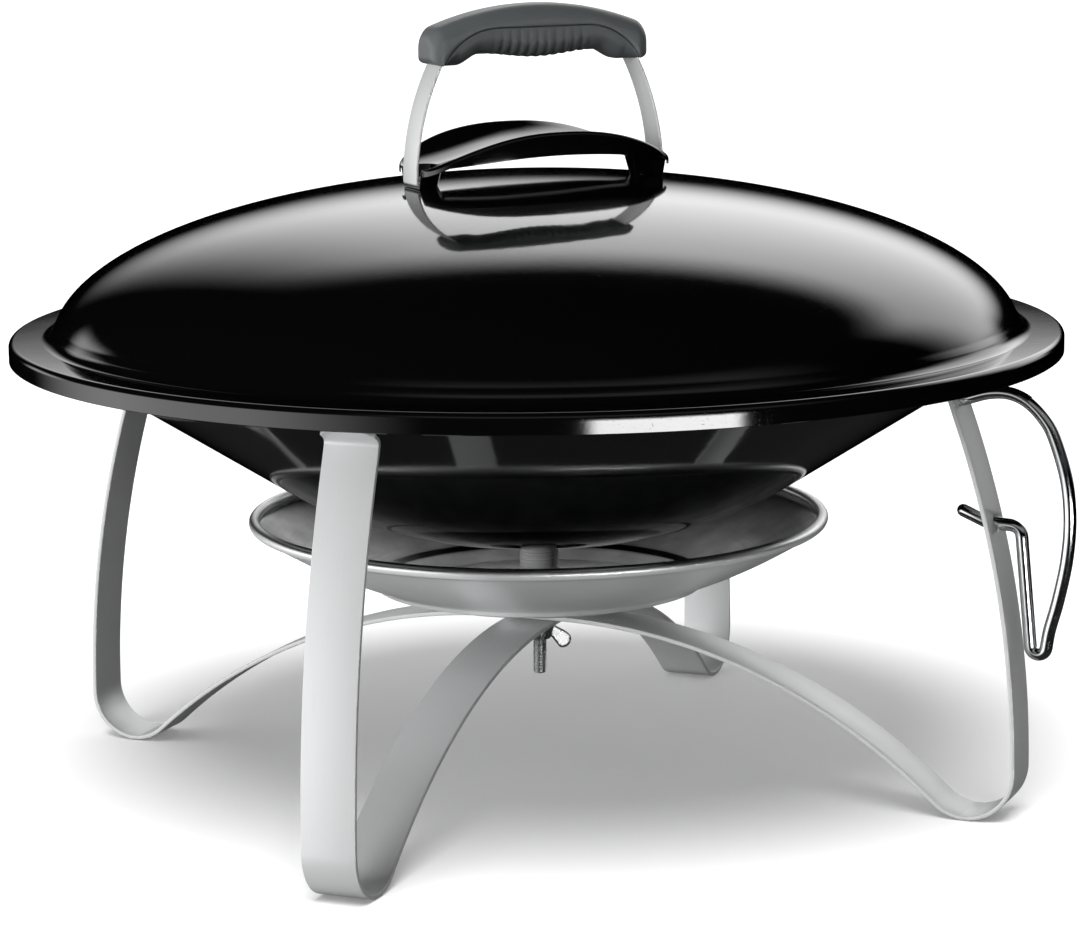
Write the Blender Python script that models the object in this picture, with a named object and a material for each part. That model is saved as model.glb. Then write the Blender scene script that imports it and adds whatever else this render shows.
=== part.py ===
"""Round fire bowl with a domed lift-off lid, on two crossed flat-bar legs, in metres with +Z up.

The origin is on the floor under the centre of the bowl, and the four legs stand on its diagonals.
Straps and hanger are drawn along X and then turned to their diagonal.
"""

import math

import bmesh
import bpy
from mathutils import Matrix, Vector

# Driving dimensions.
GAP = 0.0003                    # clearance left between pieces that touch
LID_RADIUS = 0.375              # outside of the lid's skirt
SKIRT_BOTTOM = 0.3162
SKIRT_TOP = 0.3300
DOME_RADIUS = 0.3448
DOME_BASE = 0.3256
DOME_RISE = 0.1124
DOME_STEPS = 11
ENAMELLED_SHEET = 0.0015        # thickness of the bowl and the lid
FLANGE_FILLET = 0.008

BOWL_BOTTOM = 0.1795
BOWL_FLAT_RADIUS = 0.036
BOWL_BEND = 0.287
BOWL_SLOPE = math.radians(32.5)
BOWL_FLANGE_OUTER = 0.3685
BOWL_FLANGE_LIP = 0.006
ASH_HOLE_COUNT = 6
ASH_HOLE_RADIUS = 0.007
ASH_HOLE_CIRCLE = 0.065

PAN_RADIUS = 0.209
PAN_TOP = 0.1955
PAN_BEAD = 0.0042
PAN_SHEET = 0.0012
PAN_RING_RADIUS = 0.1220         # of the step pressed round the floor
PAN_RING = 0.1462
PAN_STEP = 0.0035
PAN_FLOOR_RADIUS = 0.098
PAN_FLOOR = 0.1372
PAN_WALL_SAG = 0.0025
PAN_BOSS_RADIUS = 0.028

LEG_AZIMUTH = math.radians(-45.0)   # of the leg that carries the lid hanger
STRAP_WIDTH = 0.039
STRAP_THICKNESS = 0.0032
ARCH_UNDERSIDE = 0.1185         # underside of the upper strap at its crown
CROWN_FLAT = 0.021              # half-length of the level stretch where the straps cross
FOOT_CENTRE = 0.326
FOOT_BEND = 0.035
LEG_BEND = 0.740
TAB_LENGTH = 0.016
TAB_CHAMFER = 0.007
FOOT_PAD = 0.010                # length of the flat under each foot

STUD_RADIUS = 0.0050
STUD_BOTTOM = 0.0748
STUD_HOLE = STUD_RADIUS + 0.0005
TUBE_RADIUS = 0.0140
TUBE_BORE = 0.0115
WASHER_THICKNESS = 0.0020

GRATE_RADIUS = 0.200
GRATE_RING_WIRE = 0.0040
GRATE_BAR_WIRE = 0.0030
GRATE_BAR_PITCH = 0.036
GRATE_BAR_PAIRS = 4
GRATE_CROSS_REACH = 0.090
GRATE_WELD = 0.0015             # how far welded wires sink into each other

HANGER_WIRE = 0.0045
HANGER_HOLE = HANGER_WIRE + 0.0005
HANGER_LOW_HOLE = 0.2085
HANGER_LOOP = 0.0056            # bend of the narrow loop that holds the lid's rim
HANGER_LOOP_CENTRE = (0.3716, 0.1235)

HANDLE_AZIMUTH = math.radians(1.5)  # the loose lid is turned by this much
GRIP_LENGTH = 0.167
GRIP_WIDTH = 0.036
GRIP_TOP = 0.5595
GRIP_CROWN_BEND = 0.215
GRIP_BOTTOM = 0.5185
GRIP_END_LIFT = 0.0050           # how far the underside rises towards each end
GRIP_END_LIFT_LENGTH = 0.0085
GRIP_SWELL = 0.5240              # mean height of the palm swell on the underside
SWELL_DEPTH = 0.0018
SWELL_REACH = 0.0450
RIB_COUNT = 12
RIB_PITCH = 0.0068
RIB_DEPTH = 0.0007

BRACKET_WIDTH = 0.0245
BRACKET_THICKNESS = 0.0020
BRACKET_SIDE_BEND = 0.182
BRACKET_SIDE_REACH = 0.0952     # mid-thickness of the upright where it is vertical
BRACKET_SIDE_LEVEL = 0.437
BRACKET_SHOULDER_BEND = 0.0466
BRACKET_FOOT_BEND = 0.0045
BRACKET_TOE = 0.0055             # from the bolt to the tip of the rounded foot
BRACKET_TOE_ROUND = 0.0125       # length over which the foot draws in to its tip
BRACKET_TOE_END = 0.0036         # half width at the very tip of the toe
BRACKET_FOOT_HEIGHT = 0.030      # of the bent foot, above the bottom of the shield's body

SHIELD_SHEET = 0.0015
SHIELD_EDGE = 0.0015             # bend between the plate and its turned-down long edges
SHIELD_TOP = 0.4730              # level of the plate's long edges at its middle
SHIELD_TROUGH = 0.0150           # depth of the plate's centre line under its long edges
SHIELD_SAG = 0.0249              # drop of the plate from its middle to its ends
SHIELD_SAG_POWER = 2.3           # above 2, the drop comes later and steeper than in an arc
SHIELD_HALF_WIDTH = 0.0515
SHIELD_END_HALF_WIDTH = 0.0270
SHIELD_CORNER = 0.0060           # rounding of the plate's four corners
SHIELD_END_LIP = 0.0050          # depth of the turned-down edge at the ends
SHIELD_REACH = 0.0945
SHIELD_LIP_LEVEL = 0.4565
SHIELD_LIP_ARCH = 0.95           # bow of the lip's lower line along the plate
SHIELD_DEPTH = 0.4200            # level below the whole of the shield
CUP_CENTRE = 0.0905
CUP_FLOOR_RADIUS = 0.0145
CUP_SLANT = 0.36

HANDLE_BOLT_RADIUS = 0.0025
HANDLE_BOLT_REACH = 0.0855
GRIP_SCREW_REACH = 0.0300
GRIP_SCREW_RADIUS = 0.0020
SCREW_HEAD_RADIUS = 0.0042
SCREW_SEAT = 0.5325             # level where the screws' heads bear on the lower shell
SCREW_TIP = 0.5530

ROUND = 48                      # segments round the large pieces
SMALL_ROUND = 24                # segments round the fasteners


# ---------------------------------------------------------------- scene helpers

def clear_scene():
    for obj in list(bpy.data.objects):
        bpy.data.objects.remove(obj, do_unlink=True)


def make_material(name, colour, roughness, metallic):
    material = bpy.data.materials.new(name)
    material.use_nodes = True
    shader = material.node_tree.nodes["Principled BSDF"]
    shader.inputs["Base Color"].default_value = (*colour, 1.0)
    shader.inputs["Roughness"].default_value = roughness
    shader.inputs["Metallic"].default_value = metallic
    return material


def add_object(name, bm, material=None, sharp_angle=35.0):
    """Turns a bmesh into a named object with outward normals and smooth round faces."""
    bmesh.ops.recalc_face_normals(bm, faces=bm.faces)
    mesh = bpy.data.meshes.new(name)
    bm.to_mesh(mesh)
    bm.free()
    mesh.shade_smooth()
    mesh.set_sharp_from_angle(angle=math.radians(sharp_angle))
    obj = bpy.data.objects.new(name, mesh)
    bpy.context.scene.collection.objects.link(obj)
    if material is not None:
        mesh.materials.append(material)
    return obj


def hide_helper(obj):
    obj.hide_render = True
    obj.display_type = "WIRE"
    return obj


def combine(target, other, operation):
    """Adds a Boolean that unites other with target, or cuts it away."""
    modifier = target.modifiers.new(f"{operation.lower()} {other.name}", "BOOLEAN")
    modifier.operation = operation
    modifier.solver = "EXACT"
    modifier.object = hide_helper(other)
    other.parent = target


def cut(target, *cutters):
    for cutter in cutters:
        combine(target, cutter, "DIFFERENCE")


def unite(target, *others):
    for other in others:
        combine(target, other, "UNION")


# ---------------------------------------------------------------- outlines

def arc(centre, radius, start, end, count):
    """Points on a circle, from angle start to angle end in degrees, both included."""
    points = []
    for i in range(count + 1):
        angle = math.radians(start + (end - start) * i / count)
        points.append((centre[0] + radius * math.cos(angle), centre[1] + radius * math.sin(angle)))
    return points


def offset_line(points, distance):
    """The open line moved sideways by distance, to the left of its direction, with mitred corners."""
    moved = []
    for i, point in enumerate(points):
        here = Vector(point)
        before = here - Vector(points[i - 1]) if i > 0 else None
        after = Vector(points[i + 1]) - here if i < len(points) - 1 else None
        before = before.normalized() if before is not None else after.normalized()
        after = after.normalized() if after is not None else before
        normal = Vector((-(before.y + after.y), before.x + after.x)).normalized()
        stretch = 1.0 / max(0.3, normal.dot(Vector((-before.y, before.x))))
        moved.append(tuple(here + normal * distance * stretch))
    return moved


def rounded_path(points, radius, steps=5):
    """The open 2D path with each inner corner replaced by an arc of about the given radius."""
    smooth = [Vector(points[0])]
    for before, corner, after in zip(points, points[1:], points[2:]):
        corner = Vector(corner)
        to_before = Vector(before) - corner
        to_after = Vector(after) - corner
        half = to_before.angle(to_after) / 2
        reach = min(radius / math.tan(half), 0.48 * to_before.length, 0.48 * to_after.length)
        start = corner + to_before.normalized() * reach
        end = corner + to_after.normalized() * reach
        for i in range(steps + 1):
            share = i / steps
            low = start.lerp(corner, share)
            high = corner.lerp(end, share)
            smooth.append(low.lerp(high, share))
    smooth.append(Vector(points[-1]))
    return [tuple(point) for point in smooth]


def smooth_line(points, steps):
    """A smooth open line through all the points, with steps pieces from each to the next."""
    points = [Vector(point) for point in points]
    ends = [2 * points[0] - points[1]] + points + [2 * points[-1] - points[-2]]
    line = []
    for a, b, c, d in zip(ends, ends[1:], ends[2:], ends[3:]):
        for i in range(steps):
            t = i / steps
            bend = (2 * a - 5 * b + 4 * c - d) * t * t + (3 * b - a - 3 * c + d) * t ** 3
            line.append(tuple(b + ((c - a) * t + bend) / 2))
    return line + [tuple(points[-1])]


# ---------------------------------------------------------------- solids

def revolve(name, profile, material, closed=True, segments=ROUND):
    """Spins a profile of (radius, height) points about Z. An open profile starts and ends on the axis."""
    bm = bmesh.new()
    verts = [bm.verts.new((radius, 0.0, height)) for radius, height in profile]
    edges = [bm.edges.new(pair) for pair in zip(verts, verts[1:])]
    if closed:
        edges.append(bm.edges.new((verts[-1], verts[0])))
    bmesh.ops.spin(bm, geom=verts + edges, cent=(0, 0, 0), axis=(0, 0, 1),
                   angle=math.tau, steps=segments, use_merge=True)
    bmesh.ops.remove_doubles(bm, verts=bm.verts, dist=1e-6)
    return add_object(name, bm, material)


def revolve_sheet(name, line, thickness, material, closed=True, segments=ROUND):
    """Spins a sheet whose one face follows the line and whose other face is to the line's left."""
    other_face = offset_line(line, thickness)
    if not closed:
        other_face[0] = (0.0, other_face[0][1])
    return revolve(name, line + other_face[::-1], material, closed, segments)


def loft(name, rings, material=None, sharp_angle=35.0):
    """Joins closed rings of points, all of one length, and caps the two ends."""
    bm = bmesh.new()
    loops = [[bm.verts.new(point) for point in ring] for ring in rings]
    for near, far in zip(loops, loops[1:]):
        for i in range(len(near)):
            j = (i + 1) % len(near)
            bm.faces.new((near[i], near[j], far[j], far[i]))
    bm.faces.new(loops[0][::-1])
    bm.faces.new(loops[-1])
    return add_object(name, bm, material, sharp_angle)


def ribbon(name, path, half_widths, thickness, material):
    """A flat bar whose mid-line follows an (x, z) path, with its width along Y."""
    inner = offset_line(path, thickness / 2)
    outer = offset_line(path, -thickness / 2)
    rings = []
    for (ax, az), (bx, bz), half in zip(inner, outer, half_widths):
        rings.append([(ax, -half, az), (ax, half, az), (bx, half, bz), (bx, -half, bz)])
    return loft(name, rings, material)


def wire(name, points, radius, material):
    """A round wire through the points, with closed ends."""
    curve = bpy.data.curves.new(name, "CURVE")
    curve.dimensions = "3D"
    curve.bevel_depth = radius
    curve.bevel_resolution = 1
    curve.use_fill_caps = True
    spline = curve.splines.new("POLY")
    spline.points.add(len(points) - 1)
    for spot, point in zip(spline.points, points):
        spot.co = (*point, 1.0)
    curve.materials.append(material)
    obj = bpy.data.objects.new(name, curve)
    bpy.context.scene.collection.objects.link(obj)
    return obj


def rod(name, start, end, radius, segments=SMALL_ROUND):
    """A plain cylinder from start to end, for cutters and bars."""
    bm = bmesh.new()
    add_rod(bm, start, end, radius, segments)
    return add_object(name, bm)


def add_rod(bm, start, end, radius, segments):
    start, end = Vector(start), Vector(end)
    along = end - start
    place = Matrix.Translation((start + end) / 2) @ along.to_track_quat("Z", "Y").to_matrix().to_4x4()
    bmesh.ops.create_cone(bm, cap_ends=True, segments=segments, radius1=radius, radius2=radius,
                          depth=along.length, matrix=place)


def box(name, low, high):
    bm = bmesh.new()
    size = Vector(high) - Vector(low)
    place = Matrix.Translation((Vector(high) + Vector(low)) / 2) @ Matrix.Diagonal((*size, 1.0))
    bmesh.ops.create_cube(bm, size=1.0, matrix=place)
    return add_object(name, bm)


def hex_nut(name, across_flats, bore, low, high, material):
    """A hexagonal nut about Z with its corners turned off at both ends."""
    chamfer = 0.12 * (high - low)
    levels = ((low, True), (low + chamfer, False), (high - chamfer, False), (high, True))
    rings = []
    for height, trimmed in levels:
        rings.append([hex_point(i, across_flats, height, trimmed) for i in range(SMALL_ROUND)])
    bm = bmesh.new()
    loops = [[bm.verts.new(point) for point in ring] for ring in rings]
    for height in (high, low):
        ring = [bm.verts.new((bore * math.cos(math.tau * i / SMALL_ROUND),
                              bore * math.sin(math.tau * i / SMALL_ROUND), height))
                for i in range(SMALL_ROUND)]
        loops.append(ring)
    for near, far in zip(loops, loops[1:] + loops[:1]):
        for i in range(SMALL_ROUND):
            j = (i + 1) % SMALL_ROUND
            bm.faces.new((near[i], near[j], far[j], far[i]))
    return add_object(name, bm, material)


def hex_point(index, across_flats, height, trimmed):
    angle = math.tau * index / SMALL_ROUND
    from_flat = (angle + math.pi / 6) % (math.pi / 3) - math.pi / 6
    reach = across_flats / 2 / math.cos(from_flat)
    if trimmed:
        reach = min(reach, 1.02 * across_flats / 2)
    return (reach * math.cos(angle), reach * math.sin(angle), height)


# ---------------------------------------------------------------- lid and bowl

def dome_height(radius):
    """Height of the lid's outer face at a distance from the axis."""
    return DOME_BASE + DOME_RISE * math.sqrt(1 - (radius / DOME_RADIUS) ** 2)


def dome_slope(radius):
    """Angle by which the lid's outer face falls away from level at a distance from the axis."""
    share = radius / DOME_RADIUS
    return math.atan(DOME_RISE / DOME_RADIUS * share / math.sqrt(1 - share ** 2))


def lid_line():
    """The lid's outer face, from the apex out to the bottom of the skirt."""
    last_angle = 87.0
    dome = []
    for i in range(DOME_STEPS + 1):
        angle = math.radians(last_angle * i / DOME_STEPS)
        dome.append((DOME_RADIUS * math.sin(angle), DOME_BASE + DOME_RISE * math.cos(angle)))
    fillet_centre = (dome[-1][0] + FLANGE_FILLET, SKIRT_TOP + FLANGE_FILLET)
    dome = [point for point in dome if point[1] > fillet_centre[1]]
    fillet = arc(fillet_centre, FLANGE_FILLET, 190, 270, 3)
    edge = arc((LID_RADIUS - 0.004, SKIRT_TOP - 0.004), 0.004, 90, 0, 2)
    return dome + fillet + edge + [(LID_RADIUS, SKIRT_BOTTOM)]


def make_lid(material):
    lid = revolve_sheet("lid", lid_line(), -ENAMELLED_SHEET, material, closed=False)
    for side in (-1, 1):
        cut(lid, on_handle_bolt(rod(f"lid bolt hole {side}", (0, 0, -0.02), (0, 0, 0.02),
                                    HANDLE_BOLT_RADIUS + 0.0004), side))
    return lid


def bowl_line():
    """The bowl's outer face, from its centre hole out to the turned-down edge of the flange."""
    bottom = [(STUD_HOLE, BOWL_BOTTOM)]
    bend = arc((BOWL_FLAT_RADIUS, BOWL_BOTTOM + BOWL_BEND), BOWL_BEND, -90,
               -90 + math.degrees(BOWL_SLOPE), 6)
    flange_underside = SKIRT_TOP - 2 * ENAMELLED_SHEET - GAP
    rim_reach = bend[-1][0] + (flange_underside - bend[-1][1]) / math.tan(BOWL_SLOPE)
    wall = rounded_path([bend[-1], (rim_reach, flange_underside),
                         (BOWL_FLANGE_OUTER, flange_underside)], 0.012, 2)[1:-1]
    lip = arc((BOWL_FLANGE_OUTER - 0.003, flange_underside - 0.0025), 0.0025, 90, 0, 2)
    return bottom + bend + wall + lip + [(lip[-1][0], flange_underside - BOWL_FLANGE_LIP)]


def bowl_outer_height(radius):
    """Height of the bowl's outer face on its straight flank."""
    bend_end = BOWL_FLAT_RADIUS + BOWL_BEND * math.sin(BOWL_SLOPE)
    bend_top = BOWL_BOTTOM + BOWL_BEND * (1 - math.cos(BOWL_SLOPE))
    return bend_top + (radius - bend_end) * math.tan(BOWL_SLOPE)


def make_bowl(material):
    bowl = revolve_sheet("bowl", bowl_line(), ENAMELLED_SHEET, material)
    for i in range(ASH_HOLE_COUNT):
        angle = math.tau * (i + 0.5) / ASH_HOLE_COUNT
        x = ASH_HOLE_CIRCLE * math.cos(angle)
        y = ASH_HOLE_CIRCLE * math.sin(angle)
        cut(bowl, rod(f"ash hole {i}", (x, y, BOWL_BOTTOM - 0.02), (x, y, BOWL_BOTTOM + 0.03),
                      ASH_HOLE_RADIUS, 16))
    return bowl


def make_fire_grate(material):
    """A welded wire grate: a ring, level bars on top of it and two cross bars below them."""
    wall_inside = bowl_outer_height(GRATE_RADIUS) + ENAMELLED_SHEET / math.cos(BOWL_SLOPE)
    level = wall_inside + (GRATE_RING_WIRE + 2 * GAP) / math.cos(BOWL_SLOPE)
    ring_profile = arc((GRATE_RADIUS, level), GRATE_RING_WIRE, 0, 315, 7)
    grate = revolve("fire_grate", ring_profile, material)
    bars = bmesh.new()
    bar_level = level + GRATE_RING_WIRE + GRATE_BAR_WIRE - GRATE_WELD
    for i in range(-GRATE_BAR_PAIRS, GRATE_BAR_PAIRS + 1):
        y = i * GRATE_BAR_PITCH
        half = math.sqrt((GRATE_RADIUS + 0.001) ** 2 - y ** 2)
        add_rod(bars, (-half, y, bar_level), (half, y, bar_level), GRATE_BAR_WIRE, 8)
    cross = bmesh.new()
    cross_level = bar_level - 2 * GRATE_BAR_WIRE + GRATE_WELD
    for x in (-GRATE_CROSS_REACH, GRATE_CROSS_REACH):
        half = math.sqrt(GRATE_RADIUS ** 2 - x ** 2)
        add_rod(cross, (x, -half, cross_level), (x, half, cross_level), GRATE_BAR_WIRE, 8)
    unite(grate, add_object("grate bars", bars), add_object("grate cross bars", cross))
    return grate


# ---------------------------------------------------------------- ash pan and centre fasteners

def boss_underside():
    return ARCH_UNDERSIDE + STRAP_THICKNESS + GAP


def make_ash_pan(material):
    """A shallow dish with a rolled edge, a step round its floor and a pressed boss on the straps."""
    boss = boss_underside()
    line = [(STUD_HOLE, boss), (PAN_BOSS_RADIUS, boss), (PAN_BOSS_RADIUS + 0.010, PAN_FLOOR),
            (PAN_FLOOR_RADIUS, PAN_FLOOR), (PAN_RING_RADIUS - 0.003, PAN_RING - PAN_STEP),
            (PAN_RING_RADIUS, PAN_RING)]
    wall_top = (PAN_RADIUS - 0.0045, PAN_TOP - 2 * PAN_BEAD)
    for i in range(1, 4):
        share = i / 4
        x = PAN_RING_RADIUS + (wall_top[0] - PAN_RING_RADIUS) * share
        z = PAN_RING + (wall_top[1] - PAN_RING) * share - PAN_WALL_SAG * math.sin(math.pi * share)
        line.append((x, z))
    line.append(wall_top)
    bead = arc((PAN_RADIUS - PAN_BEAD, PAN_TOP - PAN_BEAD), PAN_BEAD, -90, 170, 6)
    inner_face = offset_line(line, PAN_SHEET)[::-1]
    return revolve("ash_pan", line + bead + inner_face, material, segments=40)


def make_spacer_tube(material):
    low = boss_underside() + PAN_SHEET + GAP
    high = BOWL_BOTTOM - GAP
    profile = [(TUBE_BORE, low), (TUBE_RADIUS, low), (TUBE_RADIUS, high - 0.0015),
               (TUBE_RADIUS - 0.0015, high), (TUBE_BORE, high)]
    return revolve("spacer_tube", profile, material, segments=SMALL_ROUND)


def make_centre_stud(material):
    """A round-headed bolt: the head is inside the bowl and the thread ends below the straps."""
    head = BOWL_BOTTOM + ENAMELLED_SHEET + WASHER_THICKNESS + 2 * GAP
    profile = [(0, head + 0.0055), (0.0050, head + 0.0050), (0.0085, head + 0.0032), (0.0100, head + 0.0010),
               (0.0100, head), (STUD_RADIUS, head), (STUD_RADIUS, STUD_BOTTOM + 0.001),
               (STUD_RADIUS - 0.001, STUD_BOTTOM), (0, STUD_BOTTOM)]
    return revolve("centre_stud", profile, material, closed=False, segments=SMALL_ROUND)


def make_washer(name, bore, radius, low, thickness, material):
    profile = [(bore, low), (radius, low), (radius, low + thickness), (bore, low + thickness)]
    return revolve(name, profile, material, segments=SMALL_ROUND)


def strap_stack_bottom():
    """Underside of the lower strap at its crown."""
    return ARCH_UNDERSIDE - STRAP_THICKNESS - GAP


def make_wing_nut(material):
    """A hub with two raised ears, threaded on the stud with the ears pointing down."""
    top = strap_stack_bottom() - WASHER_THICKNESS - 2 * GAP
    hub = [(STUD_HOLE, top), (0.0098, top), (0.0098, top - 0.004), (0.0080, top - 0.012),
           (STUD_HOLE, top - 0.012)]
    nut = revolve("wing_nut", hub, material, segments=SMALL_ROUND)
    ear = [(0.0064, top - 0.0025), (0.0095, top - 0.0020)]
    ear += arc((0.0185, top - 0.0148), 0.0062, 60, -120, 8)
    ear += [(0.0085, top - 0.0110), (0.0066, top - 0.0112)]
    for side in (-1, 1):
        rings = []
        for y, shrink in ((-0.0017, 0.9), (-0.0010, 1.0), (0.0010, 1.0), (0.0017, 0.9)):
            centre = Vector((0.0135, top - 0.011))
            ring = [centre + (Vector(point) - centre) * shrink for point in ear]
            rings.append([(side * x, y, z) for x, z in ring])
        unite(nut, loft(f"wing nut ear {side}", rings))
    return nut


# ---------------------------------------------------------------- legs and lid hanger

def leg_face_reach(height):
    """Distance from the axis to the outer face of a leg's upright at a height."""
    return FOOT_CENTRE + FOOT_BEND - (LEG_BEND - math.sqrt(LEG_BEND ** 2 - (height - FOOT_BEND) ** 2))


def strap_outer_line(crown):
    """One half of a strap's outer face, from the centre crown through the foot to the tab under the bowl."""
    span = FOOT_CENTRE - CROWN_FLAT
    drop = FOOT_BEND - crown
    arch = (span ** 2 + drop ** 2 - FOOT_BEND ** 2) / (2 * (FOOT_BEND - drop))
    meet = math.degrees(math.atan2(FOOT_BEND - crown + arch, span))
    line = [(0, crown)] + arc((CROWN_FLAT, crown - arch), arch, 90, meet, 12)
    foot = arc((FOOT_CENTRE, FOOT_BEND), FOOT_BEND, meet - 180, 0, 12)
    foot = [point for point in foot if point[1] > 0.0006]
    middle = [point[0] < FOOT_CENTRE for point in foot].count(True)
    pad = [(FOOT_CENTRE - FOOT_PAD / 2, 0.0), (FOOT_CENTRE + FOOT_PAD / 2, 0.0)]
    line += foot[1:middle] + pad + foot[middle:]
    top = 0.285                     # a little below the bend into the tab
    for i in range(1, 9):
        height = FOOT_BEND + (top - FOOT_BEND) * i / 8
        line.append((leg_face_reach(height), height))
    return line


def make_leg_strap(name, crown, azimuth, material):
    """One flat bar bent into two legs, with a tab at each end that lies against the bowl's flank."""
    half = offset_line(strap_outer_line(crown), STRAP_THICKNESS / 2)
    half[0] = (0.0, crown + STRAP_THICKNESS / 2)
    lean = Vector((math.cos(BOWL_SLOPE), math.sin(BOWL_SLOPE)))
    away = Vector((lean.y, -lean.x)) * (STRAP_THICKNESS / 2 + GAP)
    corner_reach = half[-1][0] - 0.006
    corner = Vector((corner_reach, bowl_outer_height(corner_reach))) + away
    bend = rounded_path([half[-1], tuple(corner), tuple(corner + lean * TAB_LENGTH)], 0.006, 4)
    half = half[:-1] + bend
    tab_end = Vector(half[-1])
    half.insert(len(half) - 1, tuple(tab_end - lean * TAB_CHAMFER))
    widths = [STRAP_WIDTH / 2] * len(half)
    widths[-1] -= TAB_CHAMFER
    other_half = [(-x, z) for x, z in half[:0:-1]]
    strap = ribbon(name, other_half + half, widths[:0:-1] + widths, STRAP_THICKNESS, material)
    cut(strap, rod(f"{name} stud hole", (0, 0, crown - 0.02), (0, 0, crown + 0.02), STUD_HOLE))
    strap.rotation_euler.z = azimuth
    return strap


def hanger_line(steps):
    """The wire's mid-line: through the leg, down to the narrow loop and up in a bow to under the rim."""
    low = leg_face_reach(HANGER_LOW_HOLE)
    loop = arc(HANGER_LOOP_CENTRE, HANGER_LOOP, 186, 347, 2 * steps)
    through_leg = rounded_path([(low - 0.0230, HANGER_LOW_HOLE + 0.0072), (low - 0.0060, HANGER_LOW_HOLE),
                                (low + 0.0180, HANGER_LOW_HOLE - 0.0015), loop[0]], 0.0090, steps)[:-1]
    bow = [loop[-1], (0.3794, 0.1356), (0.3852, 0.1572), (0.3908, 0.1856), (0.3926, 0.2137), (0.3897, 0.2413),
           (0.3813, 0.2685), (0.3740, 0.2819), (0.3623, 0.2935), (0.3490, 0.2990), (0.3340, 0.2985),
           (0.3175, 0.2935)]
    return through_leg + loop[:-1] + smooth_line(bow, steps)


def make_lid_hanger(material):
    """A bent wire on one leg: the lid's rim drops into its lower loop when the lid is off."""
    hanger = wire("lid_hanger", [(x, 0.0, z) for x, z in hanger_line(3)], HANGER_WIRE, material)
    hanger.rotation_euler.z = LEG_AZIMUTH
    return hanger


def cut_hanger_hole(strap):
    reach = leg_face_reach(HANGER_LOW_HOLE)
    cut(strap, rod("hanger hole", (reach - 0.012, 0, HANGER_LOW_HOLE), (reach + 0.008, 0, HANGER_LOW_HOLE),
                   HANGER_HOLE))


# ---------------------------------------------------------------- handle

def turn_to_handle(obj):
    """Pieces of the handle are drawn with the grip along X and then turned to its azimuth."""
    obj.rotation_euler.z = HANDLE_AZIMUTH
    return obj


def on_handle_bolt(obj, side):
    """Places a piece drawn about Z, with the lid's outer face at z = 0, on one of the handle's bolts."""
    reach = HANDLE_BOLT_REACH
    tilt = Matrix.Rotation(side * dome_slope(reach), 4, "Y")
    place = Matrix.Translation((side * reach, 0, dome_height(reach)))
    obj.data.transform(Matrix.Rotation(HANDLE_AZIMUTH, 4, "Z") @ place @ tilt)
    return obj


def bracket_half_path():
    """The bracket's mid-line, from the middle of the grip out and down to the tip of one foot."""
    leave = math.asin((GRIP_BOTTOM - BRACKET_SIDE_LEVEL) / BRACKET_SIDE_BEND)
    side_centre = (BRACKET_SIDE_REACH - BRACKET_SIDE_BEND, BRACKET_SIDE_LEVEL)
    shoulder_end = (side_centre[0] + BRACKET_SIDE_BEND * math.cos(leave), GRIP_BOTTOM)
    shoulder_centre = (shoulder_end[0] - BRACKET_SHOULDER_BEND * math.cos(leave),
                       shoulder_end[1] - BRACKET_SHOULDER_BEND * math.sin(leave))
    path = [(0.0, shoulder_centre[1] + BRACKET_SHOULDER_BEND)]
    path += arc(shoulder_centre, BRACKET_SHOULDER_BEND, 90, math.degrees(leave), 8)
    path += arc(side_centre, BRACKET_SIDE_BEND, math.degrees(leave), 3, 8)[1:]
    slope = dome_slope(HANDLE_BOLT_REACH)
    along_foot = Vector((-math.cos(slope), math.sin(slope)))
    lift = SHIELD_SHEET + 2 * GAP + BRACKET_THICKNESS / 2
    on_bolt = Vector((HANDLE_BOLT_REACH, dome_height(HANDLE_BOLT_REACH)))
    on_bolt += Vector((math.sin(slope), math.cos(slope))) * lift
    heel = on_bolt - along_foot * (path[-1][0] - on_bolt.x) / math.cos(slope)
    toe = on_bolt + along_foot * BRACKET_TOE
    foot = rounded_path([path[-1], tuple(heel), tuple(toe - along_foot * BRACKET_TOE_ROUND)],
                        BRACKET_FOOT_BEND, 4)
    for share in (0.25, 0.50, 0.72, 0.88, 1.0):
        foot.append(tuple(toe - along_foot * BRACKET_TOE_ROUND * (1 - share)))
    return path + foot[1:]


def bracket_half_widths(path):
    """Half the bar's width at each point of the path: the same all along, but rounded at both feet."""
    tip = path[-1][0]
    widths = []
    for reach, height in path:
        to_tip = abs(reach) - tip
        if height > SHIELD_DEPTH + BRACKET_FOOT_HEIGHT or to_tip > BRACKET_TOE_ROUND:
            widths.append(BRACKET_WIDTH / 2)
        else:
            share = 1 - to_tip / BRACKET_TOE_ROUND
            widths.append(max(BRACKET_TOE_END, BRACKET_WIDTH / 2 * math.sqrt(1 - share ** 2)))
    return widths


def joint_line():
    """The part of the bracket's path that lies inside the grip, from the middle out to its bottom face."""
    return [point for point in bracket_half_path() if point[1] > GRIP_BOTTOM - 1e-6]


def bracket_path():
    half = bracket_half_path()
    return [(-x, z) for x, z in half[:0:-1]] + half


def parting_height(reach):
    """Height of the joint between the grip's two shells, which follows the bracket between them."""
    path = joint_line()
    reach = abs(reach)
    for (ax, az), (bx, bz) in zip(path, path[1:]):
        if ax <= reach <= bx:
            return az + (bz - az) * (reach - ax) / max(bx - ax, 1e-9)
    return GRIP_BOTTOM


def crown_height(reach):
    return GRIP_TOP - GRIP_CROWN_BEND + math.sqrt(GRIP_CROWN_BEND ** 2 - reach ** 2)


def end_rounding(reach, radius):
    """How far a face draws in over the last stretch of the grip, for a rounded end."""
    past = abs(reach) - (GRIP_LENGTH / 2 - radius)
    return radius - math.sqrt(max(0.0, radius ** 2 - past ** 2)) if past > 0 else 0.0


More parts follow.
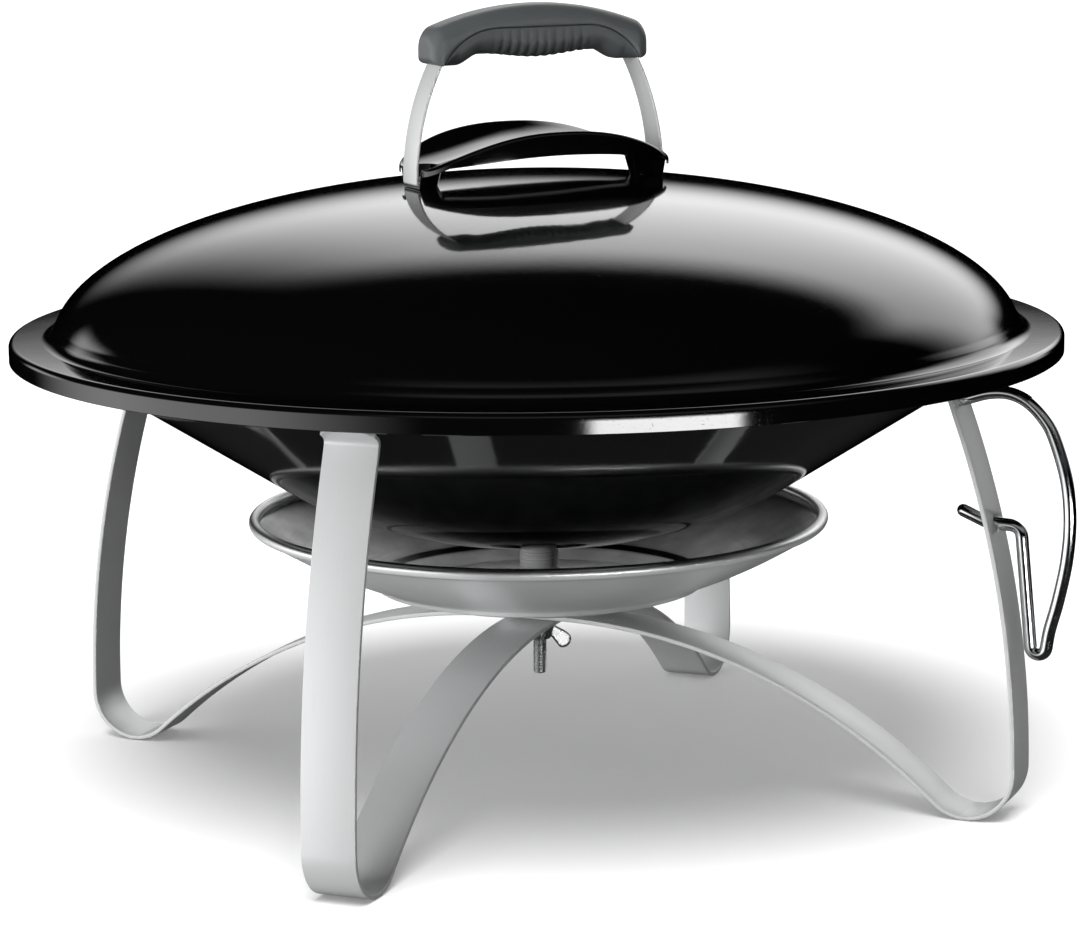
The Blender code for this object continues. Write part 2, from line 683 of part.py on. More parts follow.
def upper_section(reach):
    """Cross-section of the upper shell: flat sides, a rounded top and a flat joint below."""
    half = GRIP_WIDTH / 2 - 0.8 * end_rounding(reach, 0.008)
    top = crown_height(reach) - 0.7 * end_rounding(reach, 0.006)
    lift = end_rounding(reach, GRIP_END_LIFT_LENGTH) * GRIP_END_LIFT / GRIP_END_LIFT_LENGTH
    low = max(parting_height(reach) + GAP / 2, GRIP_BOTTOM) + lift
    shoulder = 0.0095
    ring = [(half - 0.0005, low), (half, top - shoulder)]
    ring += [(half - shoulder + shoulder * math.cos(a), top - shoulder + shoulder * math.sin(a))
             for a in (math.radians(25), math.radians(50), math.radians(75))]
    ring.append((half * 0.30, top + 0.0004))
    ring += [(-y, z) for y, z in ring[::-1]]
    return [(reach, y, z) for y, z in ring]


def underside_height(reach):
    """The grip's underside: a swell for the palm, a hollow near each end and a level tip."""
    reach = abs(reach)
    if reach < SWELL_REACH:
        return GRIP_SWELL - SWELL_DEPTH * math.cos(math.pi * reach / SWELL_REACH)
    share = min(1.0, (reach - SWELL_REACH) / 0.018)
    smooth = share * share * (3 - 2 * share)
    hollow = GRIP_SWELL + SWELL_DEPTH
    return hollow + (GRIP_BOTTOM - hollow) * smooth


def rib_cut(reach):
    """Depth of the finger ribs at a place along the grip."""
    if abs(reach) > RIB_COUNT * RIB_PITCH / 2:
        return 0.0
    return RIB_DEPTH * (0.5 - 0.5 * math.cos(math.tau * reach / RIB_PITCH))


def lower_section(reach):
    """Cross-section of the lower shell: a flat joint above and a round ribbed underside."""
    top = parting_height(reach) - GAP / 2
    low = underside_height(reach)
    half = GRIP_WIDTH / 2 - 0.0006
    ribs = rib_cut(reach)
    depth = top - low
    belly = min(0.011, 0.8 * depth)
    ring = [(half, top), (half - 0.2 * ribs, low + belly)]
    for degrees in (30, 65):
        a = math.radians(degrees)
        across = half - 0.013 + (0.013 - ribs) * math.cos(a)
        ring.append((across, low + belly - (belly - ribs) * math.sin(a)))
    ring.append((0.35 * half, low + ribs))
    ring += [(-y, z) for y, z in ring[::-1]]
    return [(reach, y, z) for y, z in ring]


def cut_grip(shell):
    """Cuts the bracket's slot from a shell of the grip."""
    path = [point for point in bracket_path() if point[1] > GRIP_BOTTOM - 0.030]
    slot = ribbon(f"{shell.name} slot", path, [BRACKET_WIDTH / 2 + GAP] * len(path),
                  BRACKET_THICKNESS + 2 * GAP, None)
    cut(shell, slot)


def make_grip_upper(material):
    half = GRIP_LENGTH / 2
    ends = (0.0, 0.0006, 0.0018, 0.0035, 0.0060, 0.0095)
    joint = [point[0] for point in joint_line()]
    reaches = [half - end for end in ends] + joint[::-1][:-1] + [0.020]
    reaches = sorted(set(reaches + [-reach for reach in reaches] + [0.0]))
    shell = loft("handle_grip_upper", [upper_section(reach) for reach in reaches], material, 50.0)
    cut_grip(shell)
    for side in (-1, 1):
        x = side * GRIP_SCREW_REACH
        cut(shell, rod(f"upper screw hole {side}", (x, 0, SCREW_SEAT), (x, 0, SCREW_TIP + 2 * GAP),
                       GRIP_SCREW_RADIUS + GAP, 16))
    return turn_to_handle(shell)


def make_grip_lower(material):
    last = joint_line()[-1][0] - 0.0015
    curved_steps = 8
    reaches = [last + (SWELL_REACH - last) * i / curved_steps for i in range(curved_steps + 1)]
    reaches += [i * RIB_PITCH / 2 for i in range(1, RIB_COUNT + 1)]
    reaches = sorted([-reach for reach in reaches] + [0.0] + reaches)
    shell = loft("handle_grip_lower", [lower_section(reach) for reach in reaches], material, 50.0)
    cut_grip(shell)
    for side in (-1, 1):
        x = side * GRIP_SCREW_REACH
        for hole_name, top, radius in (("screw hole", SCREW_TIP, GRIP_SCREW_RADIUS),
                                       ("screw head recess", SCREW_SEAT, SCREW_HEAD_RADIUS)):
            cut(shell, rod(f"lower {hole_name} {side}", (x, 0, GRIP_BOTTOM - 0.003), (x, 0, top),
                           radius + GAP, 16))
    return turn_to_handle(shell)


def make_grip_screw(name, side, material):
    head = SCREW_SEAT - GAP
    profile = [(0, head - 0.0026), (0.0030, head - 0.0024), (SCREW_HEAD_RADIUS, head - 0.0012),
               (SCREW_HEAD_RADIUS, head), (GRIP_SCREW_RADIUS, head),
               (GRIP_SCREW_RADIUS, SCREW_TIP - 0.0015), (0.0006, SCREW_TIP), (0, SCREW_TIP)]
    screw = revolve(name, profile, material, closed=False, segments=16)
    screw.data.transform(Matrix.Translation((side * GRIP_SCREW_REACH, 0, 0)))
    return turn_to_handle(screw)


def foot_bolt_hole(name, side):
    """A cutter for one of the two bolts, among the pieces drawn with the grip along X."""
    hole = rod(name, (0, 0, -0.01), (0, 0, 0.02), HANDLE_BOLT_RADIUS + GAP)
    place = Matrix.Translation((side * HANDLE_BOLT_REACH, 0, dome_height(HANDLE_BOLT_REACH)))
    hole.data.transform(place @ Matrix.Rotation(side * dome_slope(HANDLE_BOLT_REACH), 4, "Y"))
    return hole


def make_bracket(material):
    """One flat bar bent over through the grip, with a foot turned in at each end."""
    path = bracket_path()
    bracket = ribbon("handle_bracket", path, bracket_half_widths(path), BRACKET_THICKNESS, material)
    for side in (-1, 1):
        x = side * GRIP_SCREW_REACH
        cut(bracket, rod(f"bracket screw hole {side}", (x, 0, SCREW_SEAT), (x, 0, GRIP_TOP),
                         GRIP_SCREW_RADIUS + GAP, 16))
        cut(bracket, foot_bolt_hole(f"bracket foot hole {side}", side))
    return bracket


def shield_top(reach):
    return SHIELD_TOP - SHIELD_SAG * (abs(reach) / SHIELD_REACH) ** SHIELD_SAG_POWER


def shield_half_width(reach):
    share = min(1.0, abs(reach) / SHIELD_REACH) ** 5
    past = min(SHIELD_CORNER, abs(reach) - SHIELD_REACH + SHIELD_CORNER)
    corner = SHIELD_CORNER - math.sqrt(SHIELD_CORNER ** 2 - past ** 2) if past > 0 else 0.0
    return SHIELD_HALF_WIDTH - (SHIELD_HALF_WIDTH - SHIELD_END_HALF_WIDTH) * share - corner


def trough_line(edge, level):
    """Half of the plate's troughed outline, from a point near its long edge in to its middle."""
    steps = 4
    curve = SHIELD_TROUGH / SHIELD_HALF_WIDTH ** 2
    line = []
    for i in range(steps, -1, -1):
        y = edge * i / steps
        line.append((y, level - curve * (edge ** 2 - y ** 2)))
    return line


def shield_body_section(reach):
    """Cross-section of a solid body under the shield's troughed top."""
    half = shield_half_width(reach)
    top = shield_top(reach)
    ring = [(half, SHIELD_DEPTH), (half, top - SHIELD_EDGE)] + trough_line(half - SHIELD_EDGE, top)
    ring += [(-y, z) for y, z in ring[-2::-1]]
    return [(reach, y, z) for y, z in ring]


def shield_hollow_section(reach):
    """Cross-section of what the body loses: all of it but the sheet and its two turned-down edges."""
    half = shield_half_width(reach)
    top = shield_top(reach)
    lip = min(SHIELD_LIP_LEVEL - SHIELD_LIP_ARCH * reach ** 2, top - SHIELD_END_LIP)
    outside = half + 0.010
    wall = half - SHIELD_SHEET
    ring = [(outside, SHIELD_DEPTH - 0.010), (outside, lip), (wall, lip)]
    ring += trough_line(wall, top - SHIELD_SHEET)
    ring += [(-y, z) for y, z in ring[-2::-1]]
    return [(reach, y, z) for y, z in ring]


def shield_reaches(past_end):
    """Places along the shield for its cross-sections, closer together towards the ends."""
    half = [SHIELD_REACH * math.sin(math.radians(10 * i)) for i in range(10)] + [SHIELD_REACH + past_end]
    return [-reach for reach in half[:0:-1]] + half


def cup_shape(name, side, grow, low):
    """A cone at one end of the shield, from a height above the lid up through the plate."""
    high = 0.050
    profile = [(0, low), (CUP_FLOOR_RADIUS + grow + CUP_SLANT * low, low),
               (CUP_FLOOR_RADIUS + grow + CUP_SLANT * high, high), (0, high)]
    cone = revolve(name, profile, None, closed=False, segments=SMALL_ROUND)
    place = Matrix.Translation((side * CUP_CENTRE, 0, dome_height(CUP_CENTRE)))
    cone.data.transform(place @ Matrix.Rotation(side * dome_slope(HANDLE_BOLT_REACH), 4, "Y"))
    return cone


def make_heat_shield(material):
    """A leaf-shaped arched plate with a cup at each end, open outwards, that the bracket's foot stands in."""
    shield = loft("heat_shield", [shield_body_section(reach) for reach in shield_reaches(0.002)], material)
    hollow = loft("shield hollow", [shield_hollow_section(reach) for reach in shield_reaches(0.006)])
    cut(shield, hollow)
    for side in (-1, 1):
        cut(hollow, cup_shape(f"cup outside {side}", side, 0.0, GAP))
        cut(shield, cup_shape(f"cup inside {side}", side, -SHIELD_SHEET, GAP + SHIELD_SHEET))
        near, far = sorted((side * SHIELD_REACH, side * 0.130))
        cut(shield, foot_bolt_hole(f"shield bolt hole {side}", side),
            box(f"cup opening {side}", (near, -0.060, 0.400), (far, 0.060, 0.480)))
    return shield


def make_handle_fasteners(side_name, side, material):
    """The bolt from above, and the washer and nut under the lid, at one foot of the bracket."""
    clamp = SHIELD_SHEET + BRACKET_THICKNESS + 3 * GAP
    radius = HANDLE_BOLT_RADIUS
    head = [(0, clamp + 0.0030), (0.0026, clamp + 0.0027), (0.0042, clamp + 0.0014), (0.0045, clamp),
            (radius, clamp), (radius, -0.0105), (0, -0.0105)]
    bolt = revolve(f"handle_bolt_{side_name}", head, material, closed=False, segments=SMALL_ROUND)
    under = -ENAMELLED_SHEET - 2 * GAP
    washer = make_washer(f"handle_washer_{side_name}", radius + GAP, 0.0055, under - 0.0012, 0.0012, material)
    nut = hex_nut(f"handle_nut_{side_name}", 0.008, radius + GAP, under - 0.0065, under - 0.0012 - GAP,
                  material)
    for piece in (bolt, washer, nut):
        on_handle_bolt(piece, side)


# ---------------------------------------------------------------- assembly

def build():
    clear_scene()
    enamel = make_material("black enamel", (0.006, 0.006, 0.007), 0.07, 0.0)
    shield_enamel = make_material("black gloss shield", (0.007, 0.007, 0.008), 0.10, 0.0)
    strap_steel = make_material("satin nickel strap", (0.62, 0.63, 0.64), 0.30, 1.0)
    aluminium = make_material("satin aluminium", (0.72, 0.73, 0.74), 0.33, 1.0)
    chrome = make_material("bright chrome wire", (0.78, 0.79, 0.80), 0.10, 1.0)
    zinc = make_material("zinc fasteners", (0.55, 0.56, 0.57), 0.32, 1.0)
    nylon = make_material("dark grey nylon", (0.075, 0.083, 0.086), 0.48, 0.0)
    soft_nylon = make_material("dark grey ribbed nylon", (0.060, 0.067, 0.070), 0.55, 0.0)
    grate_steel = make_material("bare grate steel", (0.32, 0.31, 0.30), 0.45, 1.0)

    make_lid(enamel)
    make_bowl(enamel)
    make_fire_grate(grate_steel)
    make_ash_pan(aluminium)
    make_spacer_tube(chrome)
    make_centre_stud(zinc)
    make_washer("stud_washer", STUD_HOLE, 0.0125, BOWL_BOTTOM + ENAMELLED_SHEET + GAP, WASHER_THICKNESS, zinc)
    make_washer("strap_washer", STUD_HOLE, 0.0125, strap_stack_bottom() - GAP - WASHER_THICKNESS,
                WASHER_THICKNESS, zinc)
    make_wing_nut(zinc)
    upper_strap = make_leg_strap("leg_strap_upper", ARCH_UNDERSIDE, LEG_AZIMUTH, strap_steel)
    cut_hanger_hole(upper_strap)
    make_leg_strap("leg_strap_lower", strap_stack_bottom(), LEG_AZIMUTH + math.pi / 2, strap_steel)
    make_lid_hanger(chrome)
    make_grip_upper(nylon)
    make_grip_lower(soft_nylon)
    turn_to_handle(make_bracket(strap_steel))
    turn_to_handle(make_heat_shield(shield_enamel))
    for side_name, side in (("left", -1), ("right", 1)):
        make_grip_screw(f"grip_screw_{side_name}", side, zinc)
        make_handle_fasteners(side_name, side, zinc)


build()
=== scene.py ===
"""Round fire bowl with a domed lid: detailed pieces, materials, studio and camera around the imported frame."""

import math

import bmesh
import bpy
from mathutils import Matrix, Quaternion, Vector


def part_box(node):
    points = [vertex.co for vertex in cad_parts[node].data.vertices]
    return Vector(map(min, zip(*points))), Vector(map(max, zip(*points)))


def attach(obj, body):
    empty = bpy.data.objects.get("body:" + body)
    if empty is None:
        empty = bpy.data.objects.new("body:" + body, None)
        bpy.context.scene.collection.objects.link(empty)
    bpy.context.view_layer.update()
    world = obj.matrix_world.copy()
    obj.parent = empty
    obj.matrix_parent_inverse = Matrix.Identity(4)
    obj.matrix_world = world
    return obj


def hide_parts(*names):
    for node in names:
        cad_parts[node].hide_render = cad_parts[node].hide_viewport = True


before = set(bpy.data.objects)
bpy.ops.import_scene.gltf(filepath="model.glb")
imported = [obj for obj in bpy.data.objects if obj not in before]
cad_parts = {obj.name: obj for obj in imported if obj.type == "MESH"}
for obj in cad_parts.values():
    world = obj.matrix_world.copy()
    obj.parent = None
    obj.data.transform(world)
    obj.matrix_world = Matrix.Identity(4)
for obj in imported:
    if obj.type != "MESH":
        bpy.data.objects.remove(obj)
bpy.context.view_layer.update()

# ---------------------------------------------------------------- dimensions, in metres
# A BEND is the radius of a curve, a REACH a distance from the middle and a LEVEL a height over the floor.

GAP = 0.0003                    # between pieces that touch
PAST = 0.010                    # how far a cutter reaches past what it cuts
LID_LOW, LID_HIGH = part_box("lid")
PAN_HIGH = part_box("ash_pan")[1]
STUD_LOW, STUD_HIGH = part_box("centre_stud")
TUBE_LOW, TUBE_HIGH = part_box("spacer_tube")

LID_RADIUS = LID_HIGH.x
SKIRT_BOTTOM = LID_LOW.z
SKIRT_TOP = 0.3300
DOME_RADIUS = 0.3448
DOME_BASE = 0.3256
DOME_RISE = LID_HIGH.z - DOME_BASE
ENAMELLED_SHEET = 0.0015
FLANGE_FILLET = 0.008
LID_EDGE_BEND = 0.004

BOWL_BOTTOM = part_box("bowl")[0].z
BOWL_FLAT_RADIUS = 0.036
BOWL_BEND = 0.287
BOWL_SLOPE = math.radians(32.5)
BOWL_FLANGE_OUTER = 0.3685
BOWL_FLANGE_LIP = 0.006
BOWL_RIM_BEND = 0.012
BOWL_LIP_BEND = 0.0025
ASH_HOLE_COUNT = 6
ASH_HOLE_RADIUS = 0.007
ASH_HOLE_CIRCLE = 0.065

PAN_RADIUS = PAN_HIGH.x
PAN_TOP = PAN_HIGH.z
PAN_BEAD = 0.0042
PAN_SHEET = 0.0012
PAN_RING_RADIUS = 0.1220
PAN_RING = 0.1462
PAN_STEP = 0.0035
PAN_FLOOR_RADIUS = 0.098
PAN_FLOOR = 0.1372
PAN_WALL_SAG = 0.0025
PAN_BOSS_RADIUS = 0.028
PAN_BOSS_FLANK = 0.010
PAN_FOLD_BEND = 0.0018

LEG_AZIMUTH = math.radians(-45.0)
STRAP_WIDTH = 0.039
STRAP_THICKNESS = 0.0032
STRAP_EDGE = 0.0006
ARCH_UNDERSIDE = 0.1185
STRAPS_TOP = ARCH_UNDERSIDE + STRAP_THICKNESS
CROWN_FLAT = 0.021
FOOT_CENTRE = 0.326
FOOT_BEND = 0.035
LEG_BEND = 0.740
TAB_LENGTH = 0.016
TAB_BEND = 0.006
TAB_CHAMFER = 0.007
FOOT_PAD = 0.010
UPRIGHT_TOP = 0.285             # a little below the bend into the tab

STUD_RADIUS = 0.0050
STUD_HOLE = STUD_RADIUS + 0.0005
THREAD_PITCH = 0.0015
THREAD_TOP = STRAPS_TOP + GAP + 0.010   # inside the tube
TUBE_RADIUS = TUBE_HIGH.x
TUBE_BORE = 0.0115
WASHER_THICKNESS = 0.0020
NUT_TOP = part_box("wing_nut")[1].z
HUB_HEIGHT = 0.0120
EAR_THICKNESS = 0.0038
EAR_RADIUS = 0.0062
EAR_CENTRE = (0.0185, -0.0148)  # from the axis, and from the hub's top

GRATE_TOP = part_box("fire_grate")[1].z
GRATE_RADIUS = 0.200
GRATE_RING_WIRE = 0.0040
GRATE_BAR_WIRE = 0.0030
GRATE_BAR_PITCH = 0.036
GRATE_BAR_PAIRS = 4
GRATE_CROSS_REACH = 0.090
GRATE_WELD = 0.0015

HANGER_WIRE = 0.0045
HANGER_HOLE = HANGER_WIRE + 0.0005
HANGER_LOW_HOLE = 0.2085
HANGER_LOOP = 0.0056
HANGER_LOOP_CENTRE = (0.3716, 0.1235)

HANDLE_AZIMUTH = math.radians(1.5)
GRIP_LENGTH = 0.167
GRIP_WIDTH = 0.036
GRIP_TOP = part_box("handle_grip_upper")[1].z
GRIP_CROWN_BEND = 0.215
GRIP_SHOULDER = 0.0115
GRIP_END_SIDES = 0.0095         # how round the upper shell's ends are at the sides, top and bottom
GRIP_END_TOP = 0.0075
GRIP_END_BOTTOM = 0.0115
GRIP_BOTTOM = 0.5185
GRIP_BELLY = (0.0140, 0.0125)   # width and depth of the lower shell's round edge
GRIP_SWELL = 0.5240
SWELL_DEPTH = 0.0018
SWELL_REACH = 0.0450
SWELL_FALL = 0.018              # length of the slope from the hollow down to the tip
RIB_COUNT = 12
RIB_PITCH = 0.0068
RIB_DEPTH = 0.0010
GRIP_SCREW_REACH = 0.0300
SCREW_SEAT = 0.5325
SCREW_HEAD_RADIUS = 0.0042
SCREW_HEAD_HEIGHT = 0.0026
SCREW_RADIUS = 0.0020
CROSS_HALF_LENGTH = 0.0021
CROSS_HALF_WIDTH = 0.0005
CROSS_DEPTH = 0.0014

BRACKET_WIDTH = 0.0245
BRACKET_THICKNESS = 0.0020
BRACKET_EDGE = 0.0005
BRACKET_SIDE_BEND = 0.182
BRACKET_SIDE_REACH = 0.0952
BRACKET_SIDE_LEVEL = 0.437
BRACKET_SHOULDER_BEND = 0.0466
BRACKET_FOOT_BEND = 0.0045
BRACKET_TOE = 0.0055
BRACKET_TOE_ROUND = 0.0125
BRACKET_TOE_END = 0.0036
BRACKET_FOOT_HEIGHT = 0.030

SHIELD_SHEET = 0.0015
SHIELD_TOP = 0.4730
SHIELD_TROUGH = 0.0150
SHIELD_SAG = 0.0249
SHIELD_SAG_POWER = 2.3           # above 2, the drop comes later and steeper than in an arc
SHIELD_HALF_WIDTH = 0.0515
SHIELD_END_HALF_WIDTH = 0.0270
SHIELD_CORNER = 0.0060
SHIELD_EDGE_BEND = 0.0026
SHIELD_INNER_BEND = 0.0012
SHIELD_END_LIP = 0.0050
SHIELD_REACH = 0.0945
SHIELD_LIP_LEVEL = 0.4565
SHIELD_LIP_ARCH = 0.95           # bow of the lip's lower line along the plate
SHIELD_DEPTH = 0.4200
CUP_CENTRE = 0.0905
CUP_FLOOR_RADIUS = 0.0145
CUP_SLANT = 0.36
CUP_HEIGHT = 0.050              # height of the cones that cut a cup, which ends above the plate
OPENING_REACH = 0.130           # far face, half width and levels of the box that opens a cup outwards
OPENING_HALF_WIDTH = 0.060
OPENING_LOW = 0.400
OPENING_HIGH = 0.480
HANDLE_BOLT_RADIUS = 0.0025
HANDLE_BOLT_TAIL = 0.0105
HANDLE_BOLT_HOLE = 0.0028
BUTTON_HEAD_RADIUS = 0.0045
BUTTON_HEAD_HEIGHT = 0.0030
SOCKET_RADIUS = 0.0017
SOCKET_DEPTH = 0.0016
HANDLE_WASHER_RADIUS = 0.0055
HANDLE_WASHER_THICKNESS = 0.0012
HANDLE_NUT_ACROSS = 0.0080
HANDLE_NUT_CORNER = 0.0046
HANDLE_NUT_HEIGHT = 0.0050
HANDLE_BOLT_REACH = 0.0855

LARGE_ROUND = 240               # segments round the lid, bowl and pan
SMALL_ROUND = 64                # segments round tubes and fasteners


# ---------------------------------------------------------------- outlines

def arc(centre, radius, start, end, count):
    """Points on a circle, from angle start to angle end in degrees, both included."""
    points = []
    for i in range(count + 1):
        angle = math.radians(start + (end - start) * i / count)
        points.append((centre[0] + radius * math.cos(angle), centre[1] + radius * math.sin(angle)))
    return points


def offset_line(points, distance):
    """The open line moved sideways by distance, to the left of its direction, with mitred corners."""
    moved = []
    for i, point in enumerate(points):
        here = Vector(point)
        before = here - Vector(points[i - 1]) if i > 0 else None
        after = Vector(points[i + 1]) - here if i < len(points) - 1 else None
        before = before.normalized() if before is not None else after.normalized()
        after = after.normalized() if after is not None else before
        normal = Vector((-(before.y + after.y), before.x + after.x)).normalized()
        stretch = 1.0 / max(0.3, normal.dot(Vector((-before.y, before.x))))
        moved.append(tuple(here + normal * distance * stretch))
    return moved


def rounded_path(points, radius, steps=10):
    """The open 2D path with each inner corner replaced by a curve of about the given radius."""
    smooth = [Vector(points[0])]
    for before, corner, after in zip(points, points[1:], points[2:]):
        corner = Vector(corner)
        to_before = Vector(before) - corner
        to_after = Vector(after) - corner
        half = to_before.angle(to_after) / 2
        reach = min(radius / math.tan(half), 0.48 * to_before.length, 0.48 * to_after.length)
        start = corner + to_before.normalized() * reach
        end = corner + to_after.normalized() * reach
        for i in range(steps + 1):
            share = i / steps
            low = start.lerp(corner, share)
            high = corner.lerp(end, share)
            smooth.append(low.lerp(high, share))
    smooth.append(Vector(points[-1]))
    return [tuple(point) for point in smooth]


def smooth_line(points, steps):
    """A smooth open line through all the points, with steps pieces from each to the next."""
    points = [Vector(point) for point in points]
    ends = [2 * points[0] - points[1]] + points + [2 * points[-1] - points[-2]]
    line = []
    for a, b, c, d in zip(ends, ends[1:], ends[2:], ends[3:]):
        for i in range(steps):
            t = i / steps
            bend = (2 * a - 5 * b + 4 * c - d) * t * t + (3 * b - a - 3 * c + d) * t ** 3
            line.append(tuple(b + ((c - a) * t + bend) / 2))
    return line + [tuple(points[-1])]


def mirrored(half):
    """A line that starts on the axis, with its mirror image before it."""
    return [(-x, z) for x, z in half[:0:-1]] + half


def distances(points):
    """Running length along a line of points."""
    total = [0.0]
    for a, b in zip(points, points[1:]):
        total.append(total[-1] + (Vector(b) - Vector(a)).length)
    return total


# ---------------------------------------------------------------- skins

def finish_mesh(name, bm, material, sharp_angle=32.0):
    bmesh.ops.remove_doubles(bm, verts=bm.verts, dist=1e-7)
    bmesh.ops.recalc_face_normals(bm, faces=bm.faces)
    mesh = bpy.data.meshes.new(name)
    bm.to_mesh(mesh)
    bm.free()
    mesh.shade_smooth()
    mesh.set_sharp_from_angle(angle=math.radians(sharp_angle))
    obj = bpy.data.objects.new(name, mesh)
    bpy.context.scene.collection.objects.link(obj)
    if material is not None:
        mesh.materials.append(material)
    return obj


def add_skin(bm, rows, along=None, wrap=False):
    """Adds a skin over rows of points, each row a closed ring. Its UV map holds metres along and round it."""
    count = len(rows[0])
    if along is None:
        along = distances([sum((Vector(p) for p in row), Vector()) / count for row in rows])
    middle = rows[len(rows) // 2]
    around = distances(list(middle) + [middle[0]])
    verts = [[bm.verts.new(point) for point in row] for row in rows]
    uv = bm.loops.layers.uv.get("grain") or bm.loops.layers.uv.new("grain")
    last = len(rows) if wrap else len(rows) - 1
    for i in range(last):
        near, far = verts[i], verts[(i + 1) % len(rows)]
        for j in range(count):
            k = (j + 1) % count
            face = bm.faces.new((near[j], near[k], far[k], far[j]))
            corners = ((i, j), (i, j + 1), (i + 1, j + 1), (i + 1, j))
            for loop, (row, column) in zip(face.loops, corners):
                loop[uv].uv = (along[row], around[column])
    if not wrap:
        for ring, place in ((verts[0][::-1], along[0]), (verts[-1], along[-1])):
            cap = bm.faces.new(ring)
            for loop in cap.loops:
                loop[uv].uv = (place, (loop.vert.co - ring[0].co).length)


def skin(name, rows, material, sharp_angle=32.0):
    bm = bmesh.new()
    add_skin(bm, rows)
    return finish_mesh(name, bm, material, sharp_angle)


def revolve(name, profile, material, segments=SMALL_ROUND, sharp_angle=32.0):
    """Spins a closed profile of (radius, height) points about Z."""
    bm = bmesh.new()
    add_revolved(bm, profile, segments)
    return finish_mesh(name, bm, material, sharp_angle)


def add_revolved(bm, profile, segments):
    reach = max(radius for radius, _ in profile)
    rows = []
    for i in range(segments):
        angle = math.tau * i / segments
        rows.append([(r * math.cos(angle), r * math.sin(angle), z) for r, z in profile])
    along = [math.tau * reach * i / segments for i in range(segments + 1)]
    add_skin(bm, rows, along, wrap=True)


def sheet_profile(line, thickness, on_axis=False):
    """A closed profile of a sheet whose one face follows the line, with a softened free edge."""
    other_face = offset_line(line, thickness)
    if on_axis:
        other_face[0] = (0.0, other_face[0][1])
    end = (Vector(line[-1]) + Vector(other_face[-1])) / 2
    outward = (Vector(line[-1]) - Vector(line[-2])).normalized()
    rounded_end = tuple(end + outward * abs(thickness) * 0.35)
    return line + [rounded_end] + other_face[::-1]


def add_tube(bm, points, radius, sides=24, closed=False):
    """Adds a round wire along a line of 3D points, with domed ends unless it is closed."""
    points = [Vector(point) for point in points]
    centres, radii, ways = list(points), [radius] * len(points), []
    for i, point in enumerate(points):
        before = points[i - 1] if (i > 0 or closed) else point
        after = points[(i + 1) % len(points)] if (i < len(points) - 1 or closed) else point
        ways.append((after - before).normalized())
    if not closed:
        first, last = ways[0], ways[-1]
        for angle in (30, 60, 85):
            push = radius * math.sin(math.radians(angle))
            shrunk = radius * math.cos(math.radians(angle))
            centres = [points[0] - first * push] + centres + [points[-1] + last * push]
            radii = [shrunk] + radii + [shrunk]
            ways = [first] + ways + [last]
    side = ways[0].orthogonal().normalized()
    rows = []
    for centre, size, way in zip(centres, radii, ways):
        side = (side - way * side.dot(way)).normalized()
        other = way.cross(side)
        rows.append([centre + (side * math.cos(a) + other * math.sin(a)) * size
                     for a in (math.tau * k / sides for k in range(sides))])
    add_skin(bm, rows, distances(centres + ([centres[0]] if closed else [])), wrap=closed)


def bar_ring(centre, normal, across, thickness, half_width, edge):
    """A rounded rectangle: one cross-section of a flat bar."""
    corners = ((1, 1, 0), (-1, 1, 90), (-1, -1, 180), (1, -1, 270))
    ring = []
    for side, face, start in corners:
        for i in range(4):
            angle = math.radians(start + 30 * i)
            w = side * (half_width - edge) + edge * math.cos(angle)
            t = face * (thickness / 2 - edge) + edge * math.sin(angle)
            ring.append(centre + across * w + normal * t)
    return ring


def flat_bar(name, path, half_widths, thickness, edge, material):
    """A flat bar with softened edges whose mid-line follows an (x, z) path, with its width along Y."""
    across = Vector((0, 1, 0))
    outer = offset_line(path, 1.0)
    rows = []
    for (x, z), (ox, oz), half in zip(path, outer, half_widths):
        normal = Vector((ox - x, 0, oz - z))
        rows.append(bar_ring(Vector((x, 0, z)), normal.normalized(), across, thickness, half, edge))
    return skin(name, rows, material)


def turn(obj, azimuth):
    obj.data.transform(Matrix.Rotation(azimuth, 4, "Z"))
    return obj


def cut(target, *cutters):
    """Cuts pieces away with Booleans whose helpers aren't rendered."""
    for cutter in cutters:
        modifier = target.modifiers.new("cut " + cutter.name, "BOOLEAN")
        modifier.operation = "DIFFERENCE"
        modifier.solver = "EXACT"
        modifier.object = cutter
        cutter.hide_render = True
        cutter.hide_viewport = True


def rod(name, start, end, radius, sides=SMALL_ROUND):
    start, end = Vector(start), Vector(end)
    along = end - start
    bm = bmesh.new()
    place = Matrix.Translation((start + end) / 2) @ along.to_track_quat("Z", "Y").to_matrix().to_4x4()
    bmesh.ops.create_cone(bm, cap_ends=True, segments=sides, radius1=radius, radius2=radius,
                          depth=along.length, matrix=place)
    return finish_mesh(name, bm, None)


def drill(target, name, x, y, z, radius, sides=SMALL_ROUND):
    """Cuts an upright hole through the sheet that lies at height z."""
    cut(target, rod(name, (x, y, z - PAST), (x, y, z + PAST), radius, sides))


def bake(obj):
    """Applies an object's modifiers."""
    graph = bpy.context.evaluated_depsgraph_get()
    mesh = bpy.data.meshes.new_from_object(obj.evaluated_get(graph))
    obj.modifiers.clear()
    obj.data = mesh
    return obj


def place(piece, body, slot, node, azimuth=0.0):
    """Turns a piece about the axis, and makes it stand for a CAD node and ride on its body. Its slot is not
    used.
    """
    turn(bake(piece), azimuth)
    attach(piece, body)
    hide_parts(node)


# ---------------------------------------------------------------- node helpers

